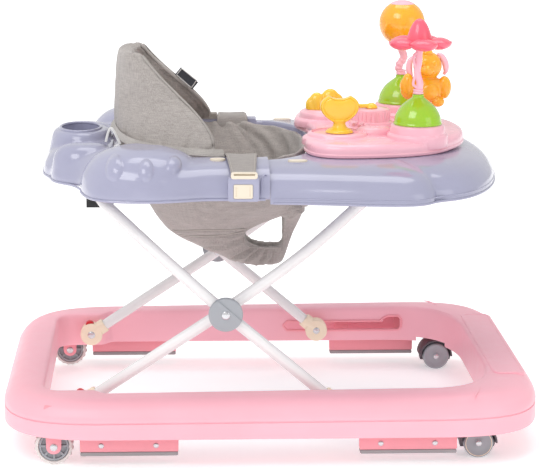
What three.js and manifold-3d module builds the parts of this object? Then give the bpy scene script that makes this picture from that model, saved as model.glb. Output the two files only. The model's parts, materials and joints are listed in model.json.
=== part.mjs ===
// Folding baby walker: a moulded base ring on two fixed rear wheels and two front casters, a scissor
// frame of two U-shaped tubes, a two-part tray with a snack cup, a fabric seat and a toy panel.
// Millimetres. X forward, Y to the child's left, Z up, origin on the floor under the middle of the base.
import * as THREE from 'three';
import { mergeVertices } from 'three/addons/utils/BufferGeometryUtils.js';
import Module from 'manifold-3d';

const wasm = await Module();
wasm.setup();

// ---------------------------------------------------------------- driving dimensions
const GAP = 0.3; // clearance between pieces that touch
const WALL = 3; // moulded wall thickness
const SIDES = { R: -1, L: 1 };

// Base ring: a channel, open below, whose top climbs a little towards the front.
const RING_HALF_LENGTH = 350;
const RING_HALF_WIDTH = 270;
const RING_BOTTOM = 40;
const RING_TOP = 89.5;
const RING_CLIMB = 0.01; // rise of the top per mm of length
const RING_INNER_Y = 215;
const RING_INNER_REAR = 296;
const RING_INNER_FRONT = 288;
const PAD_INNER_Y = 198; // the thickened pads that carry the rear feet
const PARTING_Z = 62;

// Skids under the side rails, and how far they stay off the floor.
const SKID = { length: 125, thickness: 12, bottom: 13.5, padHeight: 5, outerY: 250 };
const SKID_X = { rear: -185.5, front: 170.5 };

// Wheels.
const REAR_WHEEL = { x: -281, y: 237, radius: 25, width: 16, hubRadius: 19 };
const CASTER = { x: 264, y: 212.5, radius: 19.5, discWidth: 12, webWidth: 10, trail: 12, hoodRadius: 24.5 };
const CASTER_STEM_RADIUS = 5;
const AXLE_RADIUS = 2.5;

// Scissor frame. Each U-shaped tube is named for where its legs lie.
const TUBE_RADIUS = 7.5;
const TUBE_WALL = 1.4;
const INNER_Y = 179;
const OUTER_Y = 196;
const HUB = { x: -62, z: 186, radius: 22 };
const REAR_PIVOT = { x: -247, z: 62.5 };
const SLIDE_PIVOT = { x: 84, z: 62.5 };
const TRAY_PIVOT = { x: -222, z: 335 };
const GUIDE_PIVOT = { x: 136, z: 352 };
const FOOT = { radius: 16, reach: 24, halfWidth: 11, thickness: 19 };
const LOCK = { x: REAR_PIVOT.x - 2.5, y: INNER_Y, z: REAR_PIVOT.z + 12, halfLength: 6, travel: 3 };
const FOOT_PIN_RADIUS = 3.5;
const HUB_RIVET_RADIUS = 3;
const SLIDE_PIN_RADIUS = 3;
const SLOT = { rear: 39, front: 211, bottom: 57.5, top: 68.5, notchRear: 186, notchTop: 76 };
const SLIDE_TRAVEL = { rear: -34, front: 112 }; // of the front bend along the guide plates

// Tray.
const REAR_TRAY_BOTTOM = 341;
const FRONT_TRAY_BOTTOM = 336;
const TRAY_SEAM_X = -8;
const DECK_Z = 384;
const FRONT_DECK_Z = 380;
const CUP = { x: -252, halfX: 25.5, halfY: 39, floorZ: 350, rimZ: 396 };
const BUCKLE = { x: -41.5, halfLength: 19.5, bottom: 341, top: 371, outerY: 249 };
const BUTTON = { x: -42, halfLength: 12, z: 354, halfHeight: 9, travel: 3 };

// Toys on the panel.
const DOME = { x: 192, y: 99, baseZ: 416, radius: 31.5, height: 37 };
const FLOWER = { z: 526, petalReach: 26, petals: 5, firstPetal: -84 };
const BALL = { z: 526.8, radius: 31.8 };
const TULIP = { x: 90.5, y: -85, baseZ: 402.5 };
const SHELL = { x: 85, y: 78, baseZ: 410.5 };
const LEVER = { x: 141, y: 0, platformRadius: 26, platformZ: 422 };
const BEAR = { x: 216, y: 14, baseZ: 428 };

// ---------------------------------------------------------------- materials
const COLOURS = {
  pink: [0xffb6c1, 0.35, 0],
  deepPink: [0xffa3ad, 0.4, 0],
  cream: [0xfae6cd, 0.4, 0],
  red: [0xd8202e, 0.35, 0],
  white: [0xf0ecec, 0.2, 0.1],
  grey: [0xbec0c5, 0.4, 0],
  darkGrey: [0x4a464c, 0.5, 0],
  black: [0x17171a, 0.5, 0],
  steel: [0xc9c9cc, 0.25, 0.9],
  rubber: [0xa8a4a6, 0.8, 0],
  tread: [0xe2d8d4, 0.6, 0],
  lavender: [0xb9bcd4, 0.2, 0],
  fabric: [0xaca5a2, 0.95, 0],
  lightPink: [0xfdc4d0, 0.3, 0],
  yellow: [0xffcd46, 0.25, 0],
  green: [0xa8d632, 0.2, 0],
  coral: [0xfa6e82, 0.25, 0],
  amber: [0xffb62e, 0.15, 0],
};

function material(colour) {
  const [color, roughness, metalness] = COLOURS[colour];
  return new THREE.MeshStandardMaterial({ color, roughness, metalness });
}

// ---------------------------------------------------------------- solids: geometry in, geometry out
function toSolid(geometry) {
  const bare = geometry.clone();
  bare.deleteAttribute('normal');
  bare.deleteAttribute('uv');
  const merged = mergeVertices(bare, 1e-3);
  const corners = [];
  for (let i = 0; i < merged.index.count; i += 3) {
    const [a, b, c] = merged.index.array.slice(i, i + 3);
    if (a !== b && b !== c && c !== a) corners.push(a, b, c);
  }
  return new wasm.Manifold(new wasm.Mesh({
    numProp: 3,
    vertProperties: new Float32Array(merged.attributes.position.array),
    triVerts: new Uint32Array(corners),
  }));
}

function toGeometry(solid) {
  const { vertProperties, triVerts, numProp } = solid.getMesh();
  const geometry = new THREE.BufferGeometry();
  const corners = new Float32Array(triVerts.length * 3);
  triVerts.forEach((vertex, i) => {
    for (let k = 0; k < 3; k += 1) corners[3 * i + k] = vertProperties[numProp * vertex + k];
  });
  geometry.setAttribute('position', new THREE.BufferAttribute(corners, 3));
  geometry.computeVertexNormals();
  return geometry;
}

const asSolid = (item) => (item.isBufferGeometry ? toSolid(item) : item);
const join = (first, ...rest) => rest.reduce((sum, item) => sum.add(asSolid(item)), asSolid(first));
const cut = (first, ...rest) => rest.reduce((left, item) => left.subtract(asSolid(item)), asSolid(first));
const common = (first, second) => asSolid(first).intersect(asSolid(second));

// The same piece on the other side of the walker.
function mirrored(geometry) {
  const copy = geometry.index ? geometry.toNonIndexed() : geometry.clone();
  const position = copy.attributes.position;
  for (let i = 0; i < position.count; i += 3) {
    const [a, b, c] = [0, 1, 2].map((k) => new THREE.Vector3().fromBufferAttribute(position, i + k));
    [a, c, b].forEach((p, k) => position.setXYZ(i + k, p.x, -p.y, p.z));
  }
  copy.computeVertexNormals();
  return copy;
}

// ---------------------------------------------------------------- shapes
function box(x0, x1, y0, y1, z0, z1) {
  const geometry = new THREE.BoxGeometry(x1 - x0, y1 - y0, z1 - z0);
  return geometry.translate((x0 + x1) / 2, (y0 + y1) / 2, (z0 + z1) / 2);
}

// A cylinder along Y between two planes.
function rodY(x, z, radius, y0, y1, segments = 16) {
  const geometry = new THREE.CylinderGeometry(radius, radius, y1 - y0, segments);
  return geometry.translate(x, (y0 + y1) / 2, z);
}

function rodZ(x, y, radius, z0, z1, segments = 14) {
  const geometry = new THREE.CylinderGeometry(radius, radius, z1 - z0, segments);
  return geometry.rotateX(Math.PI / 2).translate(x, y, (z0 + z1) / 2);
}

// A profile of [radius, height] pairs turned about Z.
function turned(profile, segments = 32) {
  const points = profile.map(([radius, height]) => new THREE.Vector2(radius, height));
  return new THREE.LatheGeometry(points, segments).rotateX(Math.PI / 2);
}

// The same, turned about Y, with the heights measured along Y.
function turnedY(profile, segments = 32) {
  const points = profile.map(([radius, height]) => new THREE.Vector2(radius, height));
  return new THREE.LatheGeometry(points, segments);
}

function ellipsoid(x, y, z, rx, ry, rz, segments = 20) {
  const geometry = new THREE.SphereGeometry(1, segments, Math.round(segments * 0.6));
  return geometry.rotateX(Math.PI / 2).scale(rx, ry, rz).translate(x, y, z);
}

// An outline in the X-Z plane given thickness along Y.
function plateXZ(shape, y0, y1, curveSegments = 12) {
  const geometry = new THREE.ExtrudeGeometry(shape, { depth: y1 - y0, bevelEnabled: false, curveSegments });
  return geometry.rotateX(Math.PI / 2).translate(0, y1, 0);
}

// The Y limits, low then high, of something at one side of the walker.
function sideSpan(side, inner, outer) {
  return side > 0 ? [inner, outer] : [-outer, -inner];
}

function roundedRect(x0, x1, z0, z1, radius) {
  const shape = new THREE.Shape();
  shape.moveTo(x0 + radius, z0);
  shape.lineTo(x1 - radius, z0);
  shape.absarc(x1 - radius, z0 + radius, radius, -Math.PI / 2, 0, false);
  shape.lineTo(x1, z1 - radius);
  shape.absarc(x1 - radius, z1 - radius, radius, 0, Math.PI / 2, false);
  shape.lineTo(x0 + radius, z1);
  shape.absarc(x0 + radius, z1 - radius, radius, Math.PI / 2, Math.PI, false);
  shape.lineTo(x0, z0 + radius);
  shape.absarc(x0 + radius, z0 + radius, radius, Math.PI, Math.PI * 1.5, false);
  return shape;
}

// A skin through outlines with equal numbers of points, one above the other, closed at both ends.
// Each level is { points, z }, where z is a height or a function of the point.
function loft(levels) {
  const height = (z, p) => (typeof z === 'number' ? z : z(p));
  const rings = levels.map(({ points, z }) => points.map((p) => [p.x, p.y, height(z, p)]));
  const corners = [];
  const count = rings[0].length;
  for (let level = 0; level + 1 < rings.length; level += 1) {
    for (let i = 0; i < count; i += 1) {
      const next = (i + 1) % count;
      const [a, b] = [rings[level][i], rings[level][next]];
      const [c, d] = [rings[level + 1][next], rings[level + 1][i]];
      corners.push(a, b, c, a, c, d);
    }
  }
  const capped = (ring, points, flip) => {
    for (const [i, j, k] of THREE.ShapeUtils.triangulateShape(points, [])) {
      corners.push(...(flip ? [ring[i], ring[k], ring[j]] : [ring[i], ring[j], ring[k]]));
    }
  };
  capped(rings[0], levels[0].points, true);
  capped(rings[rings.length - 1], levels[levels.length - 1].points, false);
  const geometry = new THREE.BufferGeometry();
  geometry.setAttribute('position', new THREE.Float32BufferAttribute(corners.flat(), 3));
  return geometry;
}

// A full outline from its half on the -Y side, drawn from the rear end of the X axis to the front end.
function symmetricOutline(half, divisions) {
  const right = half.getPoints(divisions);
  const left = right.slice(1, -1).reverse().map((p) => new THREE.Vector2(p.x, -p.y));
  return [...right, ...left];
}

// A lofted lid: an outline function of its inset, taken up a profile of [height, inset] pairs.
function domed(outline, profile) {
  return loft(profile.map(([z, inset]) => ({ points: outline(inset), z })));
}

// The same profile for the hollow inside a wall of at least the given thickness. Every second level will
// do there, since the chords of a dome lie inside it.
function hollowed(profile, wall, floorZ) {
  const inside = profile.filter((level, i) => i % 2 === 0).map(([z, inset]) => [z - wall, inset + wall]);
  return [[floorZ, wall], ...inside.filter(([z]) => z > floorZ)];
}

// A smooth line whose steps follow its points, so that they crowd only where the line bends.
class KnotSpacedCurve extends THREE.CatmullRomCurve3 {
  getUtoTmapping(u) {
    return u;
  }
}

function polygon(sides, radius) {
  return Array.from({ length: sides }, (unused, i) => {
    const turn = (i / sides) * Math.PI * 2;
    return new THREE.Vector2(radius * Math.cos(turn), radius * Math.sin(turn));
  });
}

// A round tube, or a rod where there is no wall, along a line of points.
function tubeAlong(points, radius, wall, sides) {
  const section = new THREE.Shape(polygon(sides, radius));
  if (wall > 0) section.holes.push(new THREE.Path(polygon(6, radius - wall).reverse()));
  const extrudePath = new KnotSpacedCurve(points, false, 'centripetal');
  return new THREE.ExtrudeGeometry(section, { steps: points.length - 1, extrudePath });
}

// ---------------------------------------------------------------- the assembly
const walker = new THREE.Group();

function add(name, shape, colour) {
  const geometry = shape.isBufferGeometry ? shape : toGeometry(shape);
  const mesh = new THREE.Mesh(geometry, material(colour));
  mesh.name = name;
  walker.add(mesh);
}

// Makes a piece on the right, and its mirror image on the left.
function addPair(name, shape, colour) {
  const geometry = shape.isBufferGeometry ? shape : toGeometry(shape);
  add(`${name}_R`, geometry, colour);
  add(`${name}_L`, mirrored(geometry), colour);
}

// ---------------------------------------------------------------- base ring
function ringOutside(inset) {
  const half = new THREE.Path();
  const x = RING_HALF_LENGTH - inset;
  const y = RING_HALF_WIDTH - inset;
  const soft = 0.7 * inset;
  half.moveTo(-x, 0);
  half.lineTo(-x, -140);
  half.bezierCurveTo(-x, -240 + soft, -300 + soft, -y, -215, -y);
  half.lineTo(205, -y);
  half.bezierCurveTo(310 - soft, -y, x, -240 + soft, x, -120);
  half.lineTo(x, 0);
  return symmetricOutline(half, 5);
}

function ringInside(outset) {
  const half = new THREE.Path();
  const rear = -RING_INNER_REAR - outset;
  const front = RING_INNER_FRONT + outset;
  const side = -RING_INNER_Y - outset;
  const pad = -PAD_INNER_Y - outset;
  half.moveTo(rear, 0);
  half.lineTo(rear, -160);
  half.bezierCurveTo(rear, -188 - outset, -291, pad, -268, pad);
  half.lineTo(-236, pad);
  half.bezierCurveTo(-224, pad, -226, side, -212, side);
  half.lineTo(205, side);
  half.bezierCurveTo(262, side, front, -165, front, -95);
  half.lineTo(front, 0);
  return symmetricOutline(half, 4);
}

// Heights above the bottom edge stretch with the climb of the top.
function climbing(z) {
  const share = (z - RING_BOTTOM) / (RING_TOP - RING_BOTTOM);
  return (p) => z + share * RING_CLIMB * p.x;
}

const RING_CROWN = [[PARTING_Z, 0], [72, 2.5], [81, 9], [87, 18], [RING_TOP, 28]];

const ringLevel = ([z, inset]) => ({ points: ringOutside(inset), z: climbing(z) });

// The space inside the channel, open at the floor, at a distance from the ring's outer faces.
function ringRoom(distance) {
  return cut(
    loft(hollowed(RING_CROWN, distance, -5).map(ringLevel)),
    loft([{ points: ringInside(distance), z: -10 }, { points: ringInside(distance), z: 120 }]),
  );
}

function baseRing() {
  const body = loft([[RING_BOTTOM, 0], ...RING_CROWN].map(ringLevel));
  const opening = loft([
    { points: ringInside(0), z: 0 },
    { points: ringInside(0), z: climbing(RING_TOP - 5) },
    { points: ringInside(1.5), z: climbing(RING_TOP - 1.5) },
    { points: ringInside(6), z: climbing(RING_TOP + 3) },
  ]);
  let ring = cut(body, opening, ringRoom(WALL));
  for (const side of Object.values(SIDES)) {
    ring = ring.subtract(asSolid(swivelRoom(side)));
    ring = ring.add(casterSocket(side));
    ring = ring.subtract(asSolid(slideSlot(side)));
    ring = ring.subtract(asSolid(pinHole(side)));
  }
  return ring.add(asSolid(frontPlate()));
}

// A blind tube under the top of the ring, where a caster's stem turns.
function casterSocket(side) {
  const x = CASTER.x + CASTER.trail;
  const y = side * CASTER.y;
  const top = RING_TOP + RING_CLIMB * x - WALL / 2;
  return cut(rodZ(x, y, 9, 50, top), rodZ(x, y, CASTER_STEM_RADIUS + GAP, 40, top - 6));
}

// The lower edge is cut away above a caster, so that its hood turns freely.
function swivelRoom(side) {
  return rodZ(CASTER.x + CASTER.trail, side * CASTER.y, 41, 30, 46, 20);
}

// The long slot in the side rail's inner wall, with a step up at its front end for the folded stop.
function slideSlot(side) {
  const [y0, y1] = sideSpan(side, RING_INNER_Y - 2, RING_INNER_Y + 5);
  const long = plateXZ(roundedRect(SLOT.rear, SLOT.front, SLOT.bottom, SLOT.top, 3), y0, y1, 4);
  const notch = plateXZ(roundedRect(SLOT.notchRear, SLOT.front, SLOT.bottom, SLOT.notchTop, 3), y0, y1, 4);
  return join(long, notch);
}

function pinHole(side) {
  const span = sideSpan(side, PAD_INNER_Y - 2, PAD_INNER_Y + 5);
  return rodY(REAR_PIVOT.x, REAR_PIVOT.z, FOOT_PIN_RADIUS + GAP, ...span);
}

// The raised plate across the front member, following its top.
function frontPlate() {
  const plan = roundedRect(293, 336, -160, 160, 12).getPoints(4);
  const top = RING_TOP + 1.6;
  return loft([
    { points: plan, z: (p) => RING_TOP - 2 + RING_CLIMB * p.x },
    { points: plan, z: (p) => top + RING_CLIMB * p.x - 0.12 * Math.max(0, p.x - 326) },
  ]);
}

add('base_ring', baseRing(), 'pink');

// ---------------------------------------------------------------- skids
function skidHolder(x) {
  const half = SKID.length / 2;
  const inner = -SKID.outerY + SKID.thickness;
  const top = RING_TOP + RING_CLIMB * x - WALL - GAP - 0.7;
  const block = box(x - half, x + half, -SKID.outerY, inner, SKID.bottom + SKID.padHeight + GAP, 46);
  const lug = (offset) => box(x + offset - 10, x + offset + 10, -SKID.outerY + 2, inner - 2, 45, top);
  return common(join(block, lug(-half + 18), lug(half - 18)), ringRoom(WALL + GAP));
}

function skidPad(x) {
  const half = SKID.length / 2 - 0.5;
  const top = SKID.bottom + SKID.padHeight;
  const shape = roundedRect(x - half, x + half, SKID.bottom, top, 2);
  return plateXZ(shape, -SKID.outerY - 0.8, -SKID.outerY + SKID.thickness + 0.8, 1);
}

for (const [place, x] of Object.entries(SKID_X)) {
  addPair(`skid_holder_${place}`, skidHolder(x), 'deepPink');
  addPair(`skid_pad_${place}`, skidPad(x), 'rubber');
}

// ---------------------------------------------------------------- rear wheels
function wheelFork() {
  const { x, y, radius, width } = REAR_WHEEL;
  const armInside = width / 2 + 1;
  const crownTop = RING_TOP + RING_CLIMB * x - WALL - GAP - 0.5;
  const crown = box(x - 12, x + 12, -y - armInside - 3, -y + armInside + 3, radius * 2 + 4, crownTop);
  const arm = new THREE.Shape();
  arm.moveTo(x - 11, radius * 2 + 6);
  arm.lineTo(x - 9, radius);
  arm.absarc(x, radius, 9, Math.PI, 0, false);
  arm.lineTo(x + 11, radius * 2 + 6);
  arm.closePath();
  const arms = [-y - armInside - 3, -y + armInside].map((start) => plateXZ(arm, start, start + 3, 6));
  const fork = common(join(crown, ...arms), ringRoom(WALL + GAP));
  return cut(fork, rodY(x, radius, AXLE_RADIUS + GAP, -y - 20, -y + 20, 12));
}

function axle(x, z, radius, y0, y1, headRadius) {
  const profile = [
    [0, y0 - 1.6], [headRadius, y0 - 1], [headRadius, y0 - GAP], [radius, y0 - GAP],
    [radius, y1 + GAP], [headRadius, y1 + GAP], [headRadius, y1 + 1], [0, y1 + 1.6],
  ];
  return turnedY(profile, 12).translate(x, 0, z);
}

function wheelTyre() {
  const { x, y, radius, width, hubRadius } = REAR_WHEEL;
  const lobes = 20;
  const outline = new THREE.Shape();
  const points = Array.from({ length: lobes * 2 }, (unused, i) => {
    const turn = ((i - 0.5) / (lobes * 2)) * Math.PI * 2;
    const reach = i % 2 ? radius - 1.2 : radius;
    return new THREE.Vector2(reach * Math.cos(turn), reach * Math.sin(turn));
  });
  outline.setFromPoints(points);
  outline.holes.push(new THREE.Path(polygon(20, hubRadius + GAP + 0.4).reverse()));
  return plateXZ(outline, -y - width / 2, -y + width / 2, 24).translate(x, 0, radius);
}

function wheelHub() {
  const { x, y, radius, width, hubRadius } = REAR_WHEEL;
  const face = width / 2 - 1;
  const web = width / 2 - 4;
  const bore = AXLE_RADIUS + GAP;
  const profile = [
    [bore, -web], [hubRadius - 3, -web], [hubRadius - 2, -face], [hubRadius, -face],
    [hubRadius, face], [hubRadius - 2, face], [hubRadius - 3, web], [bore, web], [bore, -web],
  ];
  return turnedY(profile, 20).translate(x, -y, radius);
}

addPair('wheel_fork', wheelFork(), 'deepPink');
{
  const { x, y, radius, width } = REAR_WHEEL;
  const reach = width / 2 + 4;
  addPair('wheel_axle', axle(x, radius, AXLE_RADIUS, -y - reach, -y + reach, 5), 'steel');
}
addPair('wheel_tyre', wheelTyre(), 'tread');
addPair('wheel_hub', wheelHub(), 'grey');

// ---------------------------------------------------------------- front casters
const DISC_INSIDE = CASTER.webWidth / 2 + 1;

function casterHood() {
  const { x, y, radius, hoodRadius, webWidth, discWidth, trail } = CASTER;
  const halfWidth = DISC_INSIDE + discWidth;
  const fender = new THREE.Shape();
  fender.absarc(0, 0, hoodRadius, 0, Math.PI, false);
  fender.absarc(0, 0, hoodRadius - 2.8, Math.PI, 0, true);
  const web = new THREE.Shape();
  web.absarc(0, 0, hoodRadius - 1, -0.35, Math.PI + 0.35, false);
  const cover = plateXZ(fender, -y - halfWidth, -y + halfWidth, 10).translate(x, 0, radius);
  const middle = plateXZ(web, -y - webWidth / 2, -y + webWidth / 2, 10).translate(x, 0, radius);
  const boss = rodY(x, radius, 7, -y - webWidth / 2, -y + webWidth / 2);
  const neck = rodZ(x + trail, -y, 5.6, radius + 10, 47);
  const stemTop = RING_TOP + RING_CLIMB * (x + trail) - WALL / 2 - 6 - GAP - 1;
  const stem = rodZ(x + trail, -y, CASTER_STEM_RADIUS, 40, stemTop);
  const solid = join(cover, middle, boss, neck, stem);
  return cut(solid, rodY(x, radius, AXLE_RADIUS + GAP, -y - 20, -y + 20, 12));
}

function casterDisc() {
  const { radius, discWidth } = CASTER;
  const bore = AXLE_RADIUS + GAP;
  const profile = [
    [bore, 1], [radius - 4, 1], [radius - 2.5, 0], [radius, 1.5], [radius, discWidth], [bore, discWidth],
    [bore, 1],
  ];
  return turnedY(profile, 18);
}

addPair('caster_hood', casterHood(), 'darkGrey');
{
  const { x, y, radius } = CASTER;
  const face = DISC_INSIDE + CASTER.discWidth;
  addPair('caster_disc_outer', casterDisc().translate(x, -y - face, radius), 'grey');
  addPair('caster_disc_inner', casterDisc().rotateX(Math.PI).translate(x, -y + face, radius), 'grey');
  addPair('caster_axle', axle(x, radius, AXLE_RADIUS, -y - face + 1, -y + face - 1, 4), 'steel');
}

// ---------------------------------------------------------------- scissor frame
// A U-shaped tube: up the right leg, across behind its bends, and down the left leg.
function uLine(leg, bend, y, bendRadius) {
  const last = leg[leg.length - 1];
  const away = new THREE.Vector2(bend.x - last.x, bend.z - last.z);
  const back = Math.min(1, bendRadius / away.length());
  const start = { x: bend.x - away.x * back, z: bend.z - away.y * back };
  const straight = [...leg, start].map((p) => new THREE.Vector3(p.x, -y, p.z));
  const corner = [30, 60].map((degrees) => {
    const turn = THREE.MathUtils.degToRad(degrees);
    const share = 1 - Math.sin(turn);
    return new THREE.Vector3(
      bend.x + (start.x - bend.x) * share,
      -y + bendRadius * (1 - Math.cos(turn)),
      bend.z + (start.z - bend.z) * share,
    );
  });
  const right = [...straight, ...corner, new THREE.Vector3(bend.x, -y + bendRadius, bend.z)];
  const middle = [new THREE.Vector3(bend.x, 0, bend.z)];
  const left = right.map((p) => new THREE.Vector3(p.x, -p.y, p.z)).reverse();
  return [...right, ...middle, ...left];
}

// A point at a distance from one end of a line towards the other.
function pointAlong(from, to, distance) {
  const span = Math.hypot(to.x - from.x, to.z - from.z);
  const share = distance / span;
  return { x: from.x + (to.x - from.x) * share, z: from.z + (to.z - from.z) * share };
}

const TUBE_END = 12; // how far a tube stops short of its foot's pivot
const INNER_LEG = [
  pointAlong(REAR_PIVOT, HUB, TUBE_END), pointAlong(REAR_PIVOT, HUB, 110), HUB, { x: 33, z: 255 },
  { x: 106, z: 320 },
];
const OUTER_LEG = [
  pointAlong(SLIDE_PIVOT, HUB, TUBE_END), pointAlong(SLIDE_PIVOT, HUB, 95), HUB, { x: -137, z: 254 },
];

const INNER_LINE = uLine(INNER_LEG, GUIDE_PIVOT, INNER_Y, 26);
const OUTER_LINE = uLine(OUTER_LEG, TRAY_PIVOT, OUTER_Y, 22);

function uFrame(line) {
  const bore = (side) => rodY(HUB.x, HUB.z, HUB_RIVET_RADIUS + GAP, ...sideSpan(side, 150, 220), 12);
  return cut(tubeAlong(line, TUBE_RADIUS, TUBE_WALL, 12), bore(-1), bore(1));
}

add('inner_frame', uFrame(INNER_LINE), 'white');
add('outer_frame', uFrame(OUTER_LINE), 'white');

// A cream foot: a round boss on the pivot, and a socket round the tube's end.
function foot(pivot, y) {
  const half = FOOT.thickness / 2;
  const slope = Math.atan2(HUB.z - pivot.z, HUB.x - pivot.x);
  const block = box(0, FOOT.reach, -half, half, -FOOT.halfWidth, FOOT.halfWidth).rotateY(-slope);
  const socket = new THREE.CylinderGeometry(TUBE_RADIUS + GAP, TUBE_RADIUS + GAP, FOOT.reach + 10, 14);
  socket.rotateZ(Math.PI / 2).translate((FOOT.reach + 10) / 2 + TUBE_END - GAP, 0, 0).rotateY(-slope);
  const solid = cut(join(rodY(0, 0, FOOT.radius, -half, half, 24), block), socket);
  return solid.translate([pivot.x, -y, pivot.z]);
}

// The inner foot stands on its pad on a spacer, and its release button has a pocket in the top.
function innerFoot() {
  const spacer = rodY(REAR_PIVOT.x, REAR_PIVOT.z, 9, -PAD_INNER_Y + GAP, -INNER_Y - FOOT.thickness / 2 + 1);
  const bore = rodY(REAR_PIVOT.x, REAR_PIVOT.z, FOOT_PIN_RADIUS + GAP, -PAD_INNER_Y - 5, -INNER_Y + 20);
  const { x, y, z, halfLength, travel } = LOCK;
  const reach = halfLength + GAP;
  const pocket = box(x - reach, x + reach, -y - 4 - GAP, -y + 4 + GAP, z - travel - GAP, z + 20);
  return cut(join(foot(REAR_PIVOT, INNER_Y), spacer), bore, pocket);
}

function lockButton() {
  const { x, y, z, halfLength } = LOCK;
  const shape = new THREE.Shape();
  shape.moveTo(x - halfLength, z);
  shape.lineTo(x + halfLength, z);
  shape.absarc(x, z + 1.5, halfLength, 0, Math.PI, false);
  shape.closePath();
  return plateXZ(shape, -y - 4, -y + 4, 6);
}

// The outer foot carries the pin that slides in the slot of the ring.
function outerFoot() {
  const pin = rodY(SLIDE_PIVOT.x, SLIDE_PIVOT.z, SLIDE_PIN_RADIUS, -RING_INNER_Y - 8, -OUTER_Y - 8);
  const shoulder = rodY(SLIDE_PIVOT.x, SLIDE_PIVOT.z, 8, -RING_INNER_Y + 1, -OUTER_Y - 8);
  return join(foot(SLIDE_PIVOT, OUTER_Y), pin, shoulder);
}

addPair('inner_foot', innerFoot(), 'cream');
addPair('outer_foot', outerFoot(), 'cream');
addPair('lock_button', lockButton(), 'red');
{
  const [outside, inside] = [-PAD_INNER_Y - WALL, -INNER_Y + FOOT.thickness / 2];
  addPair('foot_pin', axle(REAR_PIVOT.x, REAR_PIVOT.z, FOOT_PIN_RADIUS, outside, inside, 5.5), 'steel');
}

// The hub cap sits over the outer tube, with one edge stepped back.
function hubCap() {
  const inside = -OUTER_Y - TUBE_RADIUS + 2.5;
  const outside = -OUTER_Y - TUBE_RADIUS - 4;
  const raised = new THREE.Shape();
  raised.absarc(0, 0, HUB.radius - 0.8, THREE.MathUtils.degToRad(118), THREE.MathUtils.degToRad(-20), false);
  raised.closePath();
  const step = plateXZ(raised, outside - 1.5, outside + 1, 9).translate(HUB.x, 0, HUB.z);
  const disc = rodY(HUB.x, HUB.z, HUB.radius, outside, inside, 28);
  const saddle = tubeAlong(OUTER_LINE, TUBE_RADIUS + GAP, 0, 12);
  const bore = rodY(HUB.x, HUB.z, HUB_RIVET_RADIUS + GAP, -220, -190, 16);
  return cut(join(disc, step), saddle, bore);
}

addPair('hub_cap', hubCap(), 'grey');
{
  const [outside, inside] = [-OUTER_Y - TUBE_RADIUS - 5.5, -INNER_Y + TUBE_RADIUS];
  addPair('hub_rivet', axle(HUB.x, HUB.z, HUB_RIVET_RADIUS, outside, inside, 5.5), 'steel');
}

// ---------------------------------------------------------------- tray
// The rear tray's skirt: snack cup at the back with a shoulder at each side of it, then a bulge at each
// side, and straight to the seam.
function rearTrayOutline(inset) {
  const half = new THREE.Path();
  const soft = 0.6 * inset;
  half.moveTo(-302 + inset, 0);
  half.lineTo(-301 + inset, -35);
  half.bezierCurveTo(-299 + inset, -70, -290 + inset, -72, -288 + inset, -92);
  half.bezierCurveTo(-284 + inset, -128 + soft, -252 + soft, -128 + soft, -246 + inset, -160);
  half.bezierCurveTo(-246 + inset, -238 + soft, -220 + soft, -256 + inset, -165, -257 + inset);
  half.bezierCurveTo(-120, -256 + inset, -110, -242 + inset, -85, -241 + inset);
  half.lineTo(TRAY_SEAM_X - GAP / 2, -239 + inset);
  half.lineTo(TRAY_SEAM_X - GAP / 2, 0);
  return symmetricOutline(half, 3);
}

function frontTrayOutline(inset) {
  const half = new THREE.Path();
  half.moveTo(TRAY_SEAM_X + GAP / 2, 0);
  half.lineTo(TRAY_SEAM_X + GAP / 2, -239 + inset);
  half.bezierCurveTo(60, -242 + inset, 100, -256 + inset, 150, -257 + inset);
  const corner = { x: 203 - 0.6 * inset, y: -229 + 0.9 * inset };
  half.bezierCurveTo(185 - 0.3 * inset, -257 + inset, 196 - 0.5 * inset, -243 + inset, corner.x, corner.y);
  half.bezierCurveTo(262 - 0.7 * inset, -212 + 0.8 * inset, 306 - inset, -100, 306 - inset, 0);
  return symmetricOutline(half, 4);
}

const SIDE_PROFILE = [[REAR_TRAY_BOTTOM, 0], [358, 3], [370, 11], [379, 28], [DECK_Z, 58]];
const FRONT_PROFILE = [[FRONT_TRAY_BOTTOM, 0], [353, 4], [366, 16], [375, 39], [FRONT_DECK_Z, 72]];
const CUP_PROFILE = [[REAR_TRAY_BOTTOM, 0], [386, 11], [394, 16], [CUP.rimZ, 20]];
const BULGE_PROFILE = [[REAR_TRAY_BOTTOM, 0], [364, 3], [380, 13], [392, 28], [399, 50]];
const SHOULDER_PROFILE = [[REAR_TRAY_BOTTOM, 0], [368, 4], [380, 9], [387, 18], [389, 28]];

function ovalOutline(x, y, rx, ry, count) {
  const at = (p, inset) => new THREE.Vector2(x + p.x * (rx - inset), y + p.y * (ry - inset));
  return (inset) => polygon(count, 1).map((p) => at(p, inset));
}

const cupLobe = ovalOutline(CUP.x + 2, 0, 52, 66, 16);
const sideBulge = (side) => ovalOutline(-168, side * 178, 78, 79, 18);
const cupShoulder = (side) => ovalOutline(-245, side * 90, 43, 38, 14);

// The seat opening, shared by both trays.
function seatOpening(outset, z0, z1) {
  const half = new THREE.Path();
  half.moveTo(-206 - outset, 0);
  half.lineTo(-206 - outset, -70);
  half.bezierCurveTo(-206 - outset, -140, -165, -168 - outset, -110, -168 - outset);
  half.lineTo(-30, -168 - outset);
  half.bezierCurveTo(20, -168 - outset, 54 + outset, -120, 54 + outset, -60);
  half.lineTo(54 + outset, 0);
  const points = symmetricOutline(half, 4);
  return loft([{ points, z: z0 }, { points, z: z1 }]);
}

const behindSeam = box(-400, TRAY_SEAM_X - GAP / 2, -400, 400, 300, 500);

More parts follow.
